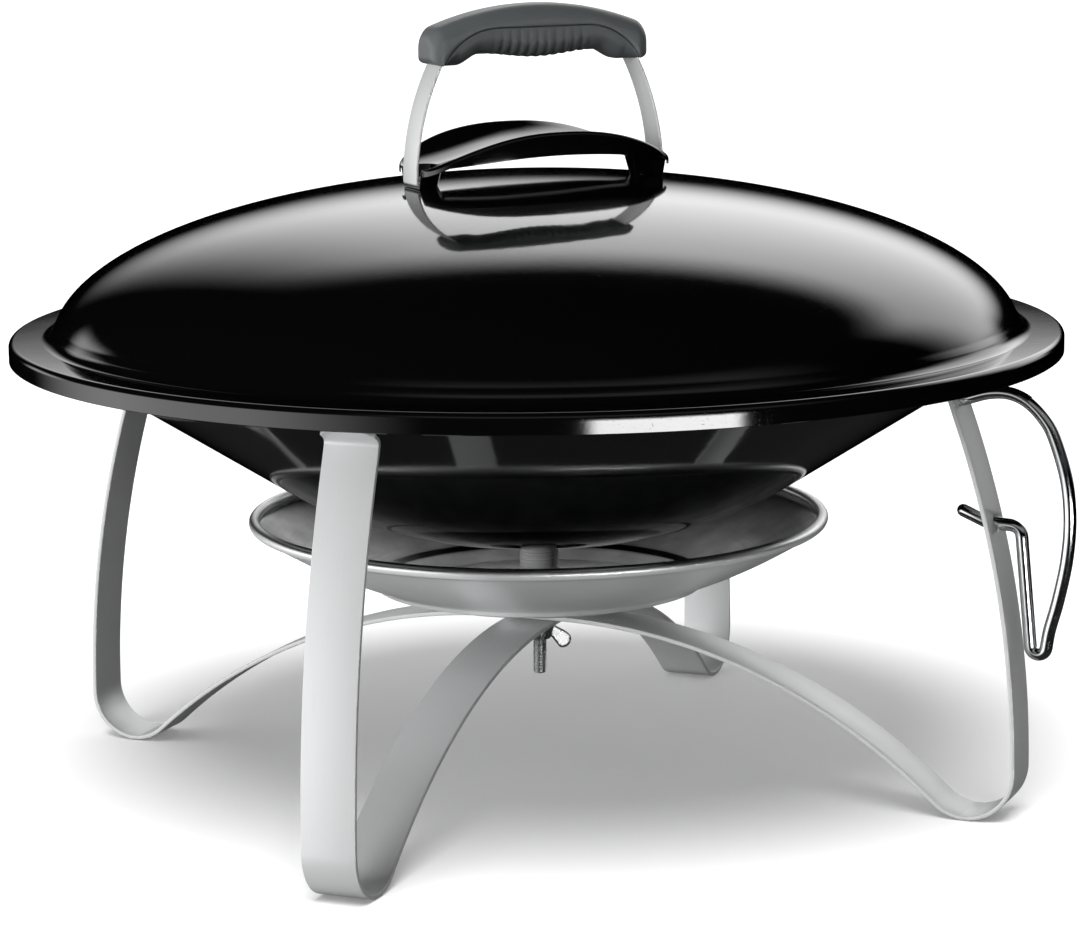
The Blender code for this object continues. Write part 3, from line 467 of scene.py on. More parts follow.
class Nodes:
    """Short names for building a material's or a world's nodes."""

    def __init__(self, tree):
        self.tree = tree

    def add(self, kind, **settings):
        node = self.tree.nodes.new(kind)
        for name, value in settings.items():
            setattr(node, name, value)
        return node

    def join(self, source, target):
        self.tree.links.new(source, target)

    def feed(self, socket, value):
        if hasattr(value, "is_output"):
            self.join(value, socket)
        else:
            socket.default_value = value

    def math(self, operation, first, second=None):
        node = self.add("ShaderNodeMath", operation=operation)
        self.feed(node.inputs[0], first)
        if second is not None:
            self.feed(node.inputs[1], second)
        return node.outputs[0]

    def plus(self, first, second):
        return self.math("ADD", first, second)

    def times(self, first, second):
        return self.math("MULTIPLY", first, second)

    def stretch(self, vector, scale):
        node = self.add("ShaderNodeMapping")
        self.join(vector, node.inputs["Vector"])
        node.inputs["Scale"].default_value = scale
        return node.outputs[0]

    def noise(self, vector, scale, detail=3.0, roughness=0.5):
        node = self.add("ShaderNodeTexNoise")
        self.join(vector, node.inputs["Vector"])
        node.inputs["Scale"].default_value = scale
        node.inputs["Detail"].default_value = detail
        node.inputs["Roughness"].default_value = roughness
        return node.outputs["Fac"]

    def span(self, value, low, high, to_low, to_high, smooth=False):
        node = self.add("ShaderNodeMapRange", interpolation_type="SMOOTHSTEP" if smooth else "LINEAR")
        self.join(value, node.inputs["Value"])
        for name, number in (("From Min", low), ("From Max", high), ("To Min", to_low), ("To Max", to_high)):
            node.inputs[name].default_value = number
        return node.outputs["Result"]

    def blend(self, share, first, second):
        node = self.add("ShaderNodeMix", data_type="RGBA")
        self.feed(node.inputs["Factor"], share)
        self.feed(node.inputs[6], first)
        self.feed(node.inputs[7], second)
        return node.outputs[2]

    def part_of(self, vector, axis):
        node = self.add("ShaderNodeSeparateXYZ")
        self.join(vector, node.inputs[0])
        return node.outputs[axis]

    def bump(self, height, distance, strength=1.0, under=None):
        node = self.add("ShaderNodeBump")
        node.inputs["Distance"].default_value = distance
        node.inputs["Strength"].default_value = strength
        self.join(height, node.inputs["Height"])
        if under is not None:
            self.join(under, node.inputs["Normal"])
        return node.outputs["Normal"]


class Surface(Nodes):
    """A new material's nodes, with where a point lies in metres, and how far along and across the grain."""

    def __init__(self, name):
        self.material = bpy.data.materials.new(name)
        self.material.use_nodes = True
        super().__init__(self.material.node_tree)
        self.where = self.add("ShaderNodeTexCoord").outputs["Object"]
        self.grain = self.add("ShaderNodeUVMap", uv_map="grain").outputs["UV"]

    def cloud(self, scale, detail=3.0, roughness=0.5):
        return self.noise(self.where, scale, detail, roughness)

    def lines(self, along, across, detail, roughness=0.5):
        """Noise drawn out into lines along the grain."""
        return self.noise(self.stretch(self.grain, (along, across, 1.0)), 1.0, detail, roughness)

    def vary(self, value, low, high):
        """Spreads the middle of a noise's range from low to high."""
        return self.span(value, 0.3, 0.7, low, high)

    def give(self, **inputs):
        """Feeds the shader's inputs. Their names have underscores for spaces."""
        shader = self.tree.nodes["Principled BSDF"]
        for name, value in inputs.items():
            self.feed(shader.inputs[name.replace("_", " ")], value)


def grey(value, tint=0.0):
    """A grey, or a slightly cooler one when tint is above 0."""
    return (value * (1 - tint), value, value * (1 + tint), 1.0)


# ---------------------------------------------------------------- materials

def enamel_material(name, soft_edges=False):
    """Fired black enamel: a deep gloss with a faint orange peel, rare pinholes and a little dust."""
    look = Surface(name)
    speck = look.span(look.cloud(900.0, 2.0), 0.70, 0.78, 0.0, 1.0)
    polish = look.vary(look.cloud(9.0, 4.0), 0.045, 0.085)
    edge = None
    if soft_edges:
        bevel = look.add("ShaderNodeBevel", samples=6)
        bevel.inputs["Radius"].default_value = 0.0006
        edge = bevel.outputs["Normal"]
    peel = look.bump(look.cloud(190.0, 1.5), 0.000012, under=edge)
    flow = look.bump(look.cloud(34.0, 1.0), 0.000030, under=peel)
    look.give(Base_Color=look.blend(look.times(speck, 0.35), grey(0.0012, 0.04), grey(0.020)),
              Roughness=look.plus(polish, look.times(speck, 0.10)), IOR=1.52,
              Normal=look.bump(look.math("SUBTRACT", 1.0, speck), 0.000015, under=flow))
    return look.material


def brushed_surface(name, value, rough, metallic, lines=1400.0, along=6.0, tint=0.008):
    """Satin metal with fine lines along its grain, faint blotches and a few longer scratches."""
    look = Surface(name)
    line = look.lines(along, lines, 4.0, 0.6)
    blotch = look.cloud(22.0, 3.0)
    scratch = look.span(look.lines(along * 3.0, lines * 0.35, 1.0), 0.66, 0.72, 0.0, 1.0)
    shade = look.vary(look.times(look.plus(line, blotch), 0.5), 0.0, 1.0)
    gloss = look.plus(look.vary(line, rough - 0.05, rough + 0.06), look.vary(blotch, -0.02, 0.03))
    look.colour = look.blend(shade, grey(value * 0.93, tint), grey(value, tint))
    look.give(Base_Color=look.colour, Roughness=look.plus(gloss, look.times(scratch, 0.08)),
              Metallic=metallic, Normal=look.bump(scratch, 0.000006, under=look.bump(line, 0.000010)))
    return look


def spun_material(name):
    """Spun aluminium: turning lines round the axis, satin underneath, and painted shade in the dish: a patchy
    dark grey on the faces that look up below the rim, where the bowl above shades them.
    """
    look = brushed_surface(name, 0.70, 0.33, 0.50, lines=1100.0, along=1.2)
    normal = look.add("ShaderNodeNewGeometry").outputs["Normal"]
    upwards = look.span(look.part_of(normal, "Z"), 0.0, 0.3, 0.0, 1.0)
    rim = PAN_TOP - 2 * PAN_BEAD
    inside = look.span(look.part_of(look.where, "Z"), rim - 0.001, rim, 1.0, 0.0)
    shade_patches = look.vary(look.cloud(35.0, 4.0), 0.75, 1.0)
    # Painted shade: the faces that look up inside the dish are darkened to a patchy grey, as the bowl above
    # shades them.
    painted_shade = look.times(look.times(upwards, inside), shade_patches)
    round_axis = look.add("ShaderNodeTangent", direction_type="RADIAL", axis="Z").outputs["Tangent"]
    look.give(Base_Color=look.blend(painted_shade, look.colour, grey(0.15)), Anisotropic=0.45, Tangent=round_axis,
              Metallic=look.span(upwards, 0.0, 1.0, 0.5, 1.0))
    return look.material


def chrome_material(name):
    """Bright plated wire with faint drawing lines under the plating."""
    look = Surface(name)
    line = look.lines(8.0, 1800.0, 2.0)
    look.give(Base_Color=grey(0.62, 0.01), Metallic=1.0, Normal=look.bump(line, 0.000004),
              Roughness=look.vary(look.cloud(60.0), 0.10, 0.18))
    return look.material


def zinc_material(name):
    """Zinc-plated fasteners: a bright grey with crystalline patches and dull handling marks."""
    look = Surface(name)
    crystal = look.add("ShaderNodeTexVoronoi")
    look.join(look.where, crystal.inputs["Vector"])
    crystal.inputs["Scale"].default_value = 700.0
    dull = look.cloud(260.0, 4.0)
    look.give(Base_Color=look.blend(dull, grey(0.46, 0.01), grey(0.66, 0.01)), Metallic=1.0,
              Roughness=look.vary(dull, 0.22, 0.40),
              Normal=look.bump(crystal.outputs["Distance"], 0.000020, 0.5))
    return look.material


def nylon_material(name, value, rough, texture):
    """Moulded glass-filled nylon: an even dark grey with the fine texture of its mould."""
    look = Surface(name)
    fine = look.cloud(texture, 3.0, 0.6)
    dark = (value * 0.90, value * 0.985, value, 1)
    light = (value * 0.98, value * 1.07, value * 1.09, 1)
    look.give(Base_Color=look.blend(look.cloud(45.0, 3.0), dark, light), IOR=1.50,
              Roughness=look.vary(fine, rough - 0.05, rough + 0.06), Normal=look.bump(fine, 0.000030, 0.7))
    return look.material


def grate_material(name):
    """Bare drawn steel that has been hot: brown and blue tints over a dull grey, with a dry scale."""
    look = Surface(name)
    heat = look.span(look.cloud(14.0, 4.0), 0.42, 0.60, 0.0, 1.0)
    scale = look.cloud(420.0, 4.0, 0.7)
    warm = look.blend(heat, (0.34, 0.33, 0.32, 1), (0.25, 0.19, 0.15, 1))
    look.give(Base_Color=look.blend(look.span(scale, 0.48, 0.66, 0.0, 0.8), warm, (0.10, 0.10, 0.115, 1)),
              Roughness=look.vary(scale, 0.35, 0.62), Metallic=look.span(scale, 0.4, 0.7, 0.95, 0.55),
              Normal=look.bump(scale, 0.000045))
    return look.material


# ---------------------------------------------------------------- lid and bowl

def dome_height(radius):
    return DOME_BASE + DOME_RISE * math.sqrt(1 - (radius / DOME_RADIUS) ** 2)


def dome_slope(radius):
    share = radius / DOME_RADIUS
    return math.atan(DOME_RISE / DOME_RADIUS * share / math.sqrt(1 - share ** 2))


def lid_line():
    """The lid's outer face, from the apex out to the bottom of the skirt."""
    dome = []
    for i in range(88):
        angle = math.radians(i)
        dome.append((DOME_RADIUS * math.sin(angle), DOME_BASE + DOME_RISE * math.cos(angle)))
    fillet_centre = (dome[-1][0] + FLANGE_FILLET, SKIRT_TOP + FLANGE_FILLET)
    dome = [point for point in dome if point[1] > fillet_centre[1]]
    fillet = arc(fillet_centre, FLANGE_FILLET, 190, 270, 10)
    edge = arc((LID_RADIUS - LID_EDGE_BEND, SKIRT_TOP - LID_EDGE_BEND), LID_EDGE_BEND, 90, 0, 8)
    return dome + fillet + edge + [(LID_RADIUS, (SKIRT_TOP + SKIRT_BOTTOM) / 2), (LID_RADIUS, SKIRT_BOTTOM)]


def make_lid(material):
    profile = sheet_profile(lid_line(), -ENAMELLED_SHEET, on_axis=True)
    lid = revolve("lid_enamelled_shell", profile, material, LARGE_ROUND)
    place(lid, "lid_with_handle", "black_enamel", "lid")


def bowl_line():
    """The bowl's outer face, from its centre hole out to the turned-down edge of the flange."""
    bottom = [(STUD_HOLE, BOWL_BOTTOM), (BOWL_FLAT_RADIUS * 0.6, BOWL_BOTTOM)]
    bend = arc((BOWL_FLAT_RADIUS, BOWL_BOTTOM + BOWL_BEND), BOWL_BEND, -90,
               -90 + math.degrees(BOWL_SLOPE), 30)
    flange_underside = SKIRT_TOP - 2 * ENAMELLED_SHEET - GAP
    rim_reach = bend[-1][0] + (flange_underside - bend[-1][1]) / math.tan(BOWL_SLOPE)
    wall = rounded_path([bend[-1], (rim_reach, flange_underside),
                         (BOWL_FLANGE_OUTER, flange_underside)], BOWL_RIM_BEND, 10)[1:-1]
    lip = arc((BOWL_FLANGE_OUTER - 0.003, flange_underside - BOWL_LIP_BEND), BOWL_LIP_BEND, 90, 0, 6)
    return bottom + bend + wall + lip + [(lip[-1][0], flange_underside - BOWL_FLANGE_LIP)]


def bowl_outer_height(radius):
    bend_end = BOWL_FLAT_RADIUS + BOWL_BEND * math.sin(BOWL_SLOPE)
    bend_top = BOWL_BOTTOM + BOWL_BEND * (1 - math.cos(BOWL_SLOPE))
    return bend_top + (radius - bend_end) * math.tan(BOWL_SLOPE)


def make_bowl(material):
    bowl = revolve("bowl_enamelled_shell", sheet_profile(bowl_line(), ENAMELLED_SHEET), material, LARGE_ROUND)
    for i in range(ASH_HOLE_COUNT):
        angle = math.tau * (i + 0.5) / ASH_HOLE_COUNT
        x = ASH_HOLE_CIRCLE * math.cos(angle)
        y = ASH_HOLE_CIRCLE * math.sin(angle)
        drill(bowl, f"ash_hole_{i}", x, y, BOWL_BOTTOM, ASH_HOLE_RADIUS, 40)
    place(bowl, "base", "black_enamel", "bowl")


def make_fire_grate(material):
    """A ring, level bars welded on it and two cross bars under them, with a weld bead at each crossing."""
    bar_level = GRATE_TOP - GRATE_BAR_WIRE
    ring_level = bar_level - GRATE_RING_WIRE - GRATE_BAR_WIRE + GRATE_WELD
    cross_level = bar_level - 2 * GRATE_BAR_WIRE + GRATE_WELD
    bm = bmesh.new()
    ring = [(GRATE_RADIUS * math.cos(a), GRATE_RADIUS * math.sin(a), ring_level)
            for a in (math.tau * i / 160 for i in range(160))]
    add_tube(bm, ring, GRATE_RING_WIRE, 18, closed=True)
    for i in range(-GRATE_BAR_PAIRS, GRATE_BAR_PAIRS + 1):
        y = i * GRATE_BAR_PITCH
        half = math.sqrt(GRATE_RADIUS ** 2 - y ** 2)
        add_tube(bm, [(x, y, bar_level) for x in (-half, 0, half)], GRATE_BAR_WIRE, 18)
        welds = [(side * half, y, (bar_level + ring_level) / 2) for side in (-1, 1)]
        welds += [(x, y, (bar_level + cross_level) / 2) for x in (-GRATE_CROSS_REACH, GRATE_CROSS_REACH)
                  if abs(x) < half]
        for weld in welds:
            bead = Matrix.Translation(weld) @ Matrix.Diagonal((1.25, 1.25, 0.7, 1.0))
            bmesh.ops.create_icosphere(bm, subdivisions=2, radius=GRATE_BAR_WIRE, matrix=bead)
    for x in (-GRATE_CROSS_REACH, GRATE_CROSS_REACH):
        half = math.sqrt(GRATE_RADIUS ** 2 - x ** 2)
        add_tube(bm, [(x, y, cross_level) for y in (-half, 0, half)], GRATE_BAR_WIRE, 18)
    place(finish_mesh("fire_grate_wires", bm, material), "grate", "grate_steel", "fire_grate")


# ---------------------------------------------------------------- ash pan and centre fasteners

def make_ash_pan(material):
    """A shallow spun dish with a rolled edge, a step round its floor and a pressed boss on the straps."""
    boss = STRAPS_TOP + GAP
    ring = (PAN_RING_RADIUS, PAN_RING)
    wall_top = (PAN_RADIUS - 0.0045, PAN_TOP - 2 * PAN_BEAD)
    wall_start = (PAN_RING_RADIUS + 0.004, PAN_RING + 0.0016)
    corners = [(STUD_HOLE, boss), (PAN_BOSS_RADIUS, boss), (PAN_BOSS_RADIUS + PAN_BOSS_FLANK, PAN_FLOOR),
               (PAN_FLOOR_RADIUS, PAN_FLOOR), (PAN_RING_RADIUS - 0.003, PAN_RING - PAN_STEP), ring,
               wall_start]
    line = rounded_path(corners, PAN_FOLD_BEND, 6)
    for i in range(1, 24):
        share = i / 24
        x = wall_start[0] + (wall_top[0] - wall_start[0]) * share
        z = wall_start[1] + (wall_top[1] - wall_start[1]) * share - PAN_WALL_SAG * math.sin(math.pi * share)
        line.append((x, z))
    line.append(wall_top)
    bead = arc((PAN_RADIUS - PAN_BEAD, PAN_TOP - PAN_BEAD), PAN_BEAD, -85, 185, 22)
    inner_face = offset_line(line, PAN_SHEET)[::-1]
    pan = revolve("ash_pan_spun_dish", line + bead + inner_face, material, LARGE_ROUND, 40.0)
    place(pan, "base", "satin_aluminium", "ash_pan")


def make_spacer_tube(material):
    low, high = TUBE_LOW.z, TUBE_HIGH.z
    bevel = 0.0012
    outside = arc((TUBE_RADIUS - bevel, low + bevel), bevel, -90, 0, 5)
    outside += arc((TUBE_RADIUS - bevel, high - bevel), bevel, 0, 90, 5)
    tube = revolve("spacer_tube_chromed", [(TUBE_BORE, low)] + outside + [(TUBE_BORE, high)], material)
    place(tube, "base", "bright_chrome", "spacer_tube")


def add_thread(bm, low, high):
    """A threaded rod: rows of points whose radius follows a helix."""
    per_turn = 8
    depth = 0.0009
    lead_in, tip = 0.0012, 0.82     # length of the tapered end, and its size against the rest
    steps = round((high - low) / THREAD_PITCH * per_turn)
    sides = 40
    rows = []
    for i in range(steps + 1):
        z = low + (high - low) * i / steps
        taper = tip + (1 - tip) * min(1.0, (z - low) / lead_in)
        row = []
        for k in range(sides):
            phase = (z / THREAD_PITCH - k / sides) % 1.0
            ridge = 1 - abs(2 * phase - 1)
            radius = (STUD_RADIUS - depth * (1 - ridge)) * taper
            angle = math.tau * k / sides
            row.append(Vector((radius * math.cos(angle), radius * math.sin(angle), z)))
        rows.append(row)
    add_skin(bm, rows)


def make_centre_stud(material):
    """A round-headed bolt with a plain shank and a thread on the stretch below the pan."""
    head = BOWL_BOTTOM + ENAMELLED_SHEET + WASHER_THICKNESS + 2 * GAP
    dome_rise = STUD_HIGH.z - head
    head_radius = STUD_HIGH.x
    rim = 0.001
    dome = [(head_radius * math.cos(a), head + rim + (dome_rise - rim) * math.sin(a))
            for a in (math.radians(10 * i) for i in range(9))]
    profile = [(0.0, THREAD_TOP), (STUD_RADIUS, THREAD_TOP), (STUD_RADIUS, head)]
    profile += [(head_radius - 0.0004, head)] + dome + [(0.0, head + dome_rise)]
    bm = bmesh.new()
    add_revolved(bm, profile, SMALL_ROUND)
    add_thread(bm, STUD_LOW.z, THREAD_TOP + 0.001)
    place(finish_mesh("centre_stud_threaded", bm, material), "base", "zinc", "centre_stud")


def washer_profile(bore, radius, low, high):
    edge = 0.0003
    return [(bore, low), (radius - edge, low), (radius, low + edge), (radius, high - edge),
            (radius - edge, high), (bore, high)]


def make_washer(node, body, material):
    low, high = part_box(node)
    washer = revolve(node + "_turned", washer_profile(STUD_HOLE, high.x, low.z, high.z), material)
    place(washer, body, "zinc", node)


def make_wing_nut(material):
    """A cast nut: a tapered hub and two rounded ears, melted together by a fine remesh."""
    top = NUT_TOP
    foot = top - HUB_HEIGHT
    hub = [(STUD_HOLE, top), (0.0093, top), (0.0098, top - 0.0006), (0.0097, top - 0.004),
           (0.0080, foot + 0.0005), (0.0074, foot), (STUD_HOLE, foot)]
    bm = bmesh.new()
    add_revolved(bm, hub, SMALL_ROUND)
    ear = [(0.0060, top - 0.0020), (0.0095, top - 0.0020)]
    ear += arc((EAR_CENTRE[0], top + EAR_CENTRE[1]), EAR_RADIUS, 62, -118, 20)
    ear += [(0.0085, top - 0.0110), (0.0062, top - 0.0112)]
    centre = Vector((0.0135, top - 0.011))
    for side in (-1, 1):
        rows = []
        for share in (-1.0, -0.85, -0.55, 0.0, 0.55, 0.85, 1.0):
            shrink = 1.0 - 0.16 * abs(share) ** 3
            ring = [centre + (Vector(point) - centre) * shrink for point in ear]
            rows.append([Vector((side * x, EAR_THICKNESS / 2 * share, z)) for x, z in ring])
        add_skin(bm, rows)
    nut = finish_mesh("wing_nut_cast", bm, material)
    remesh = nut.modifiers.new("melt", "REMESH")
    remesh.mode = "VOXEL"
    remesh.voxel_size = 0.00035
    remesh.use_smooth_shade = True
    smooth = nut.modifiers.new("soften", "SMOOTH")
    smooth.iterations = 6
    place(nut, "nut", "zinc", "wing_nut")


# ---------------------------------------------------------------- legs and lid hanger

def leg_face_reach(height):
    """Distance from the axis to the outer face of a leg's upright at a height."""
    return FOOT_CENTRE + FOOT_BEND - (LEG_BEND - math.sqrt(LEG_BEND ** 2 - (height - FOOT_BEND) ** 2))


def strap_outer_line(crown):
    """One half of a strap's outer face, from the centre crown through the foot to below the tab."""
    span = FOOT_CENTRE - CROWN_FLAT
    drop = FOOT_BEND - crown
    bend = (span ** 2 + drop ** 2 - FOOT_BEND ** 2) / (2 * (FOOT_BEND - drop))
    meet = math.degrees(math.atan2(FOOT_BEND - crown + bend, span))
    line = [(0, crown)] + arc((CROWN_FLAT, crown - bend), bend, 90, meet, 48)
    foot = arc((FOOT_CENTRE, FOOT_BEND), FOOT_BEND, meet - 180, 0, 48)
    foot = [point for point in foot if point[1] > 0.0004]
    middle = [point[0] < FOOT_CENTRE for point in foot].count(True)
    pad = [(FOOT_CENTRE - FOOT_PAD / 2, 0.0), (FOOT_CENTRE + FOOT_PAD / 2, 0.0)]
    line += foot[1:middle] + pad + foot[middle:]
    for i in range(1, 25):
        height = FOOT_BEND + (UPRIGHT_TOP - FOOT_BEND) * i / 24
        line.append((leg_face_reach(height), height))
    return line


def leg_strap(name, crown, material):
    """One flat bar bent into two legs, with a chamfered tab at each end that lies against the bowl."""
    half = offset_line(strap_outer_line(crown), STRAP_THICKNESS / 2)
    half[0] = (0.0, crown + STRAP_THICKNESS / 2)
    lean = Vector((math.cos(BOWL_SLOPE), math.sin(BOWL_SLOPE)))
    away = Vector((lean.y, -lean.x)) * (STRAP_THICKNESS / 2 + GAP)
    corner_reach = half[-1][0] - TAB_BEND
    corner = Vector((corner_reach, bowl_outer_height(corner_reach))) + away
    bend = rounded_path([half[-1], tuple(corner), tuple(corner + lean * TAB_LENGTH)], TAB_BEND, 12)
    half = half[:-1] + bend
    tab_end = Vector(half[-1])
    half.insert(len(half) - 1, tuple(tab_end - lean * TAB_CHAMFER))
    widths = [STRAP_WIDTH / 2] * len(half)
    widths[-1] -= TAB_CHAMFER
    strap = flat_bar(name, mirrored(half), widths[:0:-1] + widths, STRAP_THICKNESS, STRAP_EDGE, material)
    drill(strap, name + "_stud_hole", 0, 0, crown, STUD_HOLE)
    return strap


def make_leg_straps(material):
    upper = leg_strap("leg_strap_upper_satin", ARCH_UNDERSIDE, material)
    lower = leg_strap("leg_strap_lower_satin", ARCH_UNDERSIDE - STRAP_THICKNESS - GAP, material)
    reach = leg_face_reach(HANGER_LOW_HOLE)
    cut(upper, rod("hanger_hole", (reach - PAST, 0, HANGER_LOW_HOLE), (reach + PAST, 0, HANGER_LOW_HOLE),
                   HANGER_HOLE, 32))
    place(upper, "base", "satin_strap", "leg_strap_upper", LEG_AZIMUTH)
    place(lower, "base", "satin_strap", "leg_strap_lower", LEG_AZIMUTH + math.pi / 2)


def hanger_line(steps):
    """The wire's mid-line: through the leg, down to the narrow loop and up in a bow to under the rim."""
    low = leg_face_reach(HANGER_LOW_HOLE)
    loop = arc(HANGER_LOOP_CENTRE, HANGER_LOOP, 186, 347, 2 * steps)
    through_leg = rounded_path([(low - 0.0230, HANGER_LOW_HOLE + 0.0072), (low - 0.0060, HANGER_LOW_HOLE),
                                (low + 0.0180, HANGER_LOW_HOLE - 0.0015), loop[0]], 0.0090, steps)[:-1]
    bow = [loop[-1], (0.3794, 0.1356), (0.3852, 0.1572), (0.3908, 0.1856), (0.3926, 0.2137), (0.3897, 0.2413),
           (0.3813, 0.2685), (0.3740, 0.2819), (0.3623, 0.2935), (0.3490, 0.2990), (0.3340, 0.2985),
           (0.3175, 0.2935)]
    return through_leg + loop[:-1] + smooth_line(bow, steps)


def make_lid_hanger(material):
    """A bent wire on one leg: the lid's rim drops into its lower loop when the lid is off."""
    bm = bmesh.new()
    add_tube(bm, [(x, 0.0, z) for x, z in hanger_line(12)], HANGER_WIRE, 32)
    hanger = finish_mesh("lid_hanger_wire", bm, material)
    place(hanger, "base", "bright_chrome", "lid_hanger", LEG_AZIMUTH)


# ---------------------------------------------------------------- handle

def place_on_handle(piece, slot, node):
    place(piece, "lid_with_handle", slot, node, HANDLE_AZIMUTH)


def handle_bolt_place(side, reach=HANDLE_BOLT_REACH):
    """Where a piece drawn about Z, with the lid's outer face at z = 0, stands on a bolt of the handle."""
    tilt = Matrix.Rotation(side * dome_slope(HANDLE_BOLT_REACH), 4, "Y")
    return Matrix.Translation((side * reach, 0, dome_height(reach))) @ tilt


def bracket_half_path():
    """The bracket's mid-line, from the middle of the grip out and down to the tip of one foot."""
    leave = math.asin((GRIP_BOTTOM - BRACKET_SIDE_LEVEL) / BRACKET_SIDE_BEND)
    side_centre = (BRACKET_SIDE_REACH - BRACKET_SIDE_BEND, BRACKET_SIDE_LEVEL)
    shoulder_end = (side_centre[0] + BRACKET_SIDE_BEND * math.cos(leave), GRIP_BOTTOM)
    shoulder_centre = (shoulder_end[0] - BRACKET_SHOULDER_BEND * math.cos(leave),
                       shoulder_end[1] - BRACKET_SHOULDER_BEND * math.sin(leave))
    path = [(0.0, shoulder_centre[1] + BRACKET_SHOULDER_BEND)]
    path += arc(shoulder_centre, BRACKET_SHOULDER_BEND, 90, math.degrees(leave), 24)
    path += arc(side_centre, BRACKET_SIDE_BEND, math.degrees(leave), 3, 24)[1:]
    slope = dome_slope(HANDLE_BOLT_REACH)
    along_foot = Vector((-math.cos(slope), math.sin(slope)))
    lift = SHIELD_SHEET + 2 * GAP + BRACKET_THICKNESS / 2
    on_bolt = Vector((HANDLE_BOLT_REACH, dome_height(HANDLE_BOLT_REACH)))
    on_bolt += Vector((math.sin(slope), math.cos(slope))) * lift
    heel = on_bolt - along_foot * (path[-1][0] - on_bolt.x) / math.cos(slope)
    toe = on_bolt + along_foot * BRACKET_TOE
    steps = 12
    foot = rounded_path([path[-1], tuple(heel), tuple(toe - along_foot * BRACKET_TOE_ROUND)],
                        BRACKET_FOOT_BEND, steps)
    for i in range(1, steps + 1):
        share = math.sin(math.radians(90 * i / steps))
        foot.append(tuple(toe - along_foot * BRACKET_TOE_ROUND * (1 - share)))
    return path + foot[1:]


def bracket_half_widths(path):
    """Half the bar's width at each point of the path: the same all along, but rounded at both feet."""
    tip = path[-1][0]
    widths = []
    for reach, height in path:
        to_tip = abs(reach) - tip
        if height > SHIELD_DEPTH + BRACKET_FOOT_HEIGHT or to_tip > BRACKET_TOE_ROUND:
            widths.append(BRACKET_WIDTH / 2)
        else:
            share = 1 - to_tip / BRACKET_TOE_ROUND
            widths.append(max(BRACKET_TOE_END, BRACKET_WIDTH / 2 * math.sqrt(1 - share ** 2)))
    return widths


def make_bracket(material):
    path = mirrored(bracket_half_path())
    bracket = flat_bar("handle_bracket_bent", path, bracket_half_widths(path), BRACKET_THICKNESS,
                       BRACKET_EDGE, material)
    place_on_handle(bracket, "satin_strap", "handle_bracket")


JOINT = [point for point in bracket_half_path() if point[1] > GRIP_BOTTOM - 1e-6]


def parting_height(reach):
    """Height of the joint between the grip's two shells, which follows the bracket between them."""
    reach = abs(reach)
    for (ax, az), (bx, bz) in zip(JOINT, JOINT[1:]):
        if ax <= reach <= bx:
            return az + (bz - az) * (reach - ax) / max(bx - ax, 1e-9)
    return GRIP_BOTTOM


def end_rounding(reach, radius):
    """How far a face draws in over the last stretch of the grip, for a rounded end."""
    past = abs(reach) - (GRIP_LENGTH / 2 - radius)
    return radius - math.sqrt(max(0.0, radius ** 2 - past ** 2)) if past > 0 else 0.0


def grip_reaches(half, count):
    """Places for cross-sections, much closer together near the two ends."""
    return [half * math.sin(math.pi / 2 * (2 * i / count - 1)) for i in range(count + 1)]


def grip_section(reach, half):
    """A whole cross-section from its right half, which starts and ends beside the axis."""
    return [Vector((reach, y, z)) for y, z in half + [(-y, z) for y, z in half[::-1]]]


def upper_section(reach):
    """Cross-section of the upper shell: nearly flat sides, a broad round top and a soft lower edge."""
    half = GRIP_WIDTH / 2 - 0.9 * end_rounding(reach, GRIP_END_SIDES)
    crown = GRIP_TOP - GRIP_CROWN_BEND + math.sqrt(GRIP_CROWN_BEND ** 2 - reach ** 2)
    top = crown - 0.9 * end_rounding(reach, GRIP_END_TOP)
    lift = end_rounding(reach, GRIP_END_BOTTOM) * 0.55
    low = max(parting_height(reach) + GAP / 2, GRIP_BOTTOM) + lift
    shoulder = min(GRIP_SHOULDER, half * 0.75)
    edge = 0.0010
    ring = [(half * 0.5, low), (half - edge, low), (half - 0.3 * edge, low + 0.3 * edge), (half, low + edge)]
    side_top = max(top - shoulder, low + 2 * edge)
    ring.append((half, (low + edge + side_top) / 2))
    rise = top - side_top
    for i in range(13):
        angle = math.radians(7.5 * i)
        ring.append((half - shoulder + shoulder * math.cos(angle), side_top + rise * math.sin(angle)))
    ring.append((half * 0.18, top + 0.0003))
    return grip_section(reach, ring)


def underside_height(reach):
    """The grip's underside: a swell for the palm, a hollow near each end and a level tip."""
    reach = abs(reach)
    if reach < SWELL_REACH:
        return GRIP_SWELL - SWELL_DEPTH * math.cos(math.pi * reach / SWELL_REACH)
    share = min(1.0, (reach - SWELL_REACH) / SWELL_FALL)
    smooth = share * share * (3 - 2 * share)
    hollow = GRIP_SWELL + SWELL_DEPTH
    return hollow + (GRIP_BOTTOM - hollow) * smooth


def rib_cut(reach):
    """Depth of the finger grooves at a place along the grip, fading in at both ends of the row."""
    edge = RIB_COUNT * RIB_PITCH / 2
    if abs(reach) > edge:
        return 0.0
    fade = min(1.0, (edge - abs(reach)) / (1.5 * RIB_PITCH))
    groove = (0.5 - 0.5 * math.cos(math.tau * reach / RIB_PITCH)) ** 1.6
    return RIB_DEPTH * fade * groove


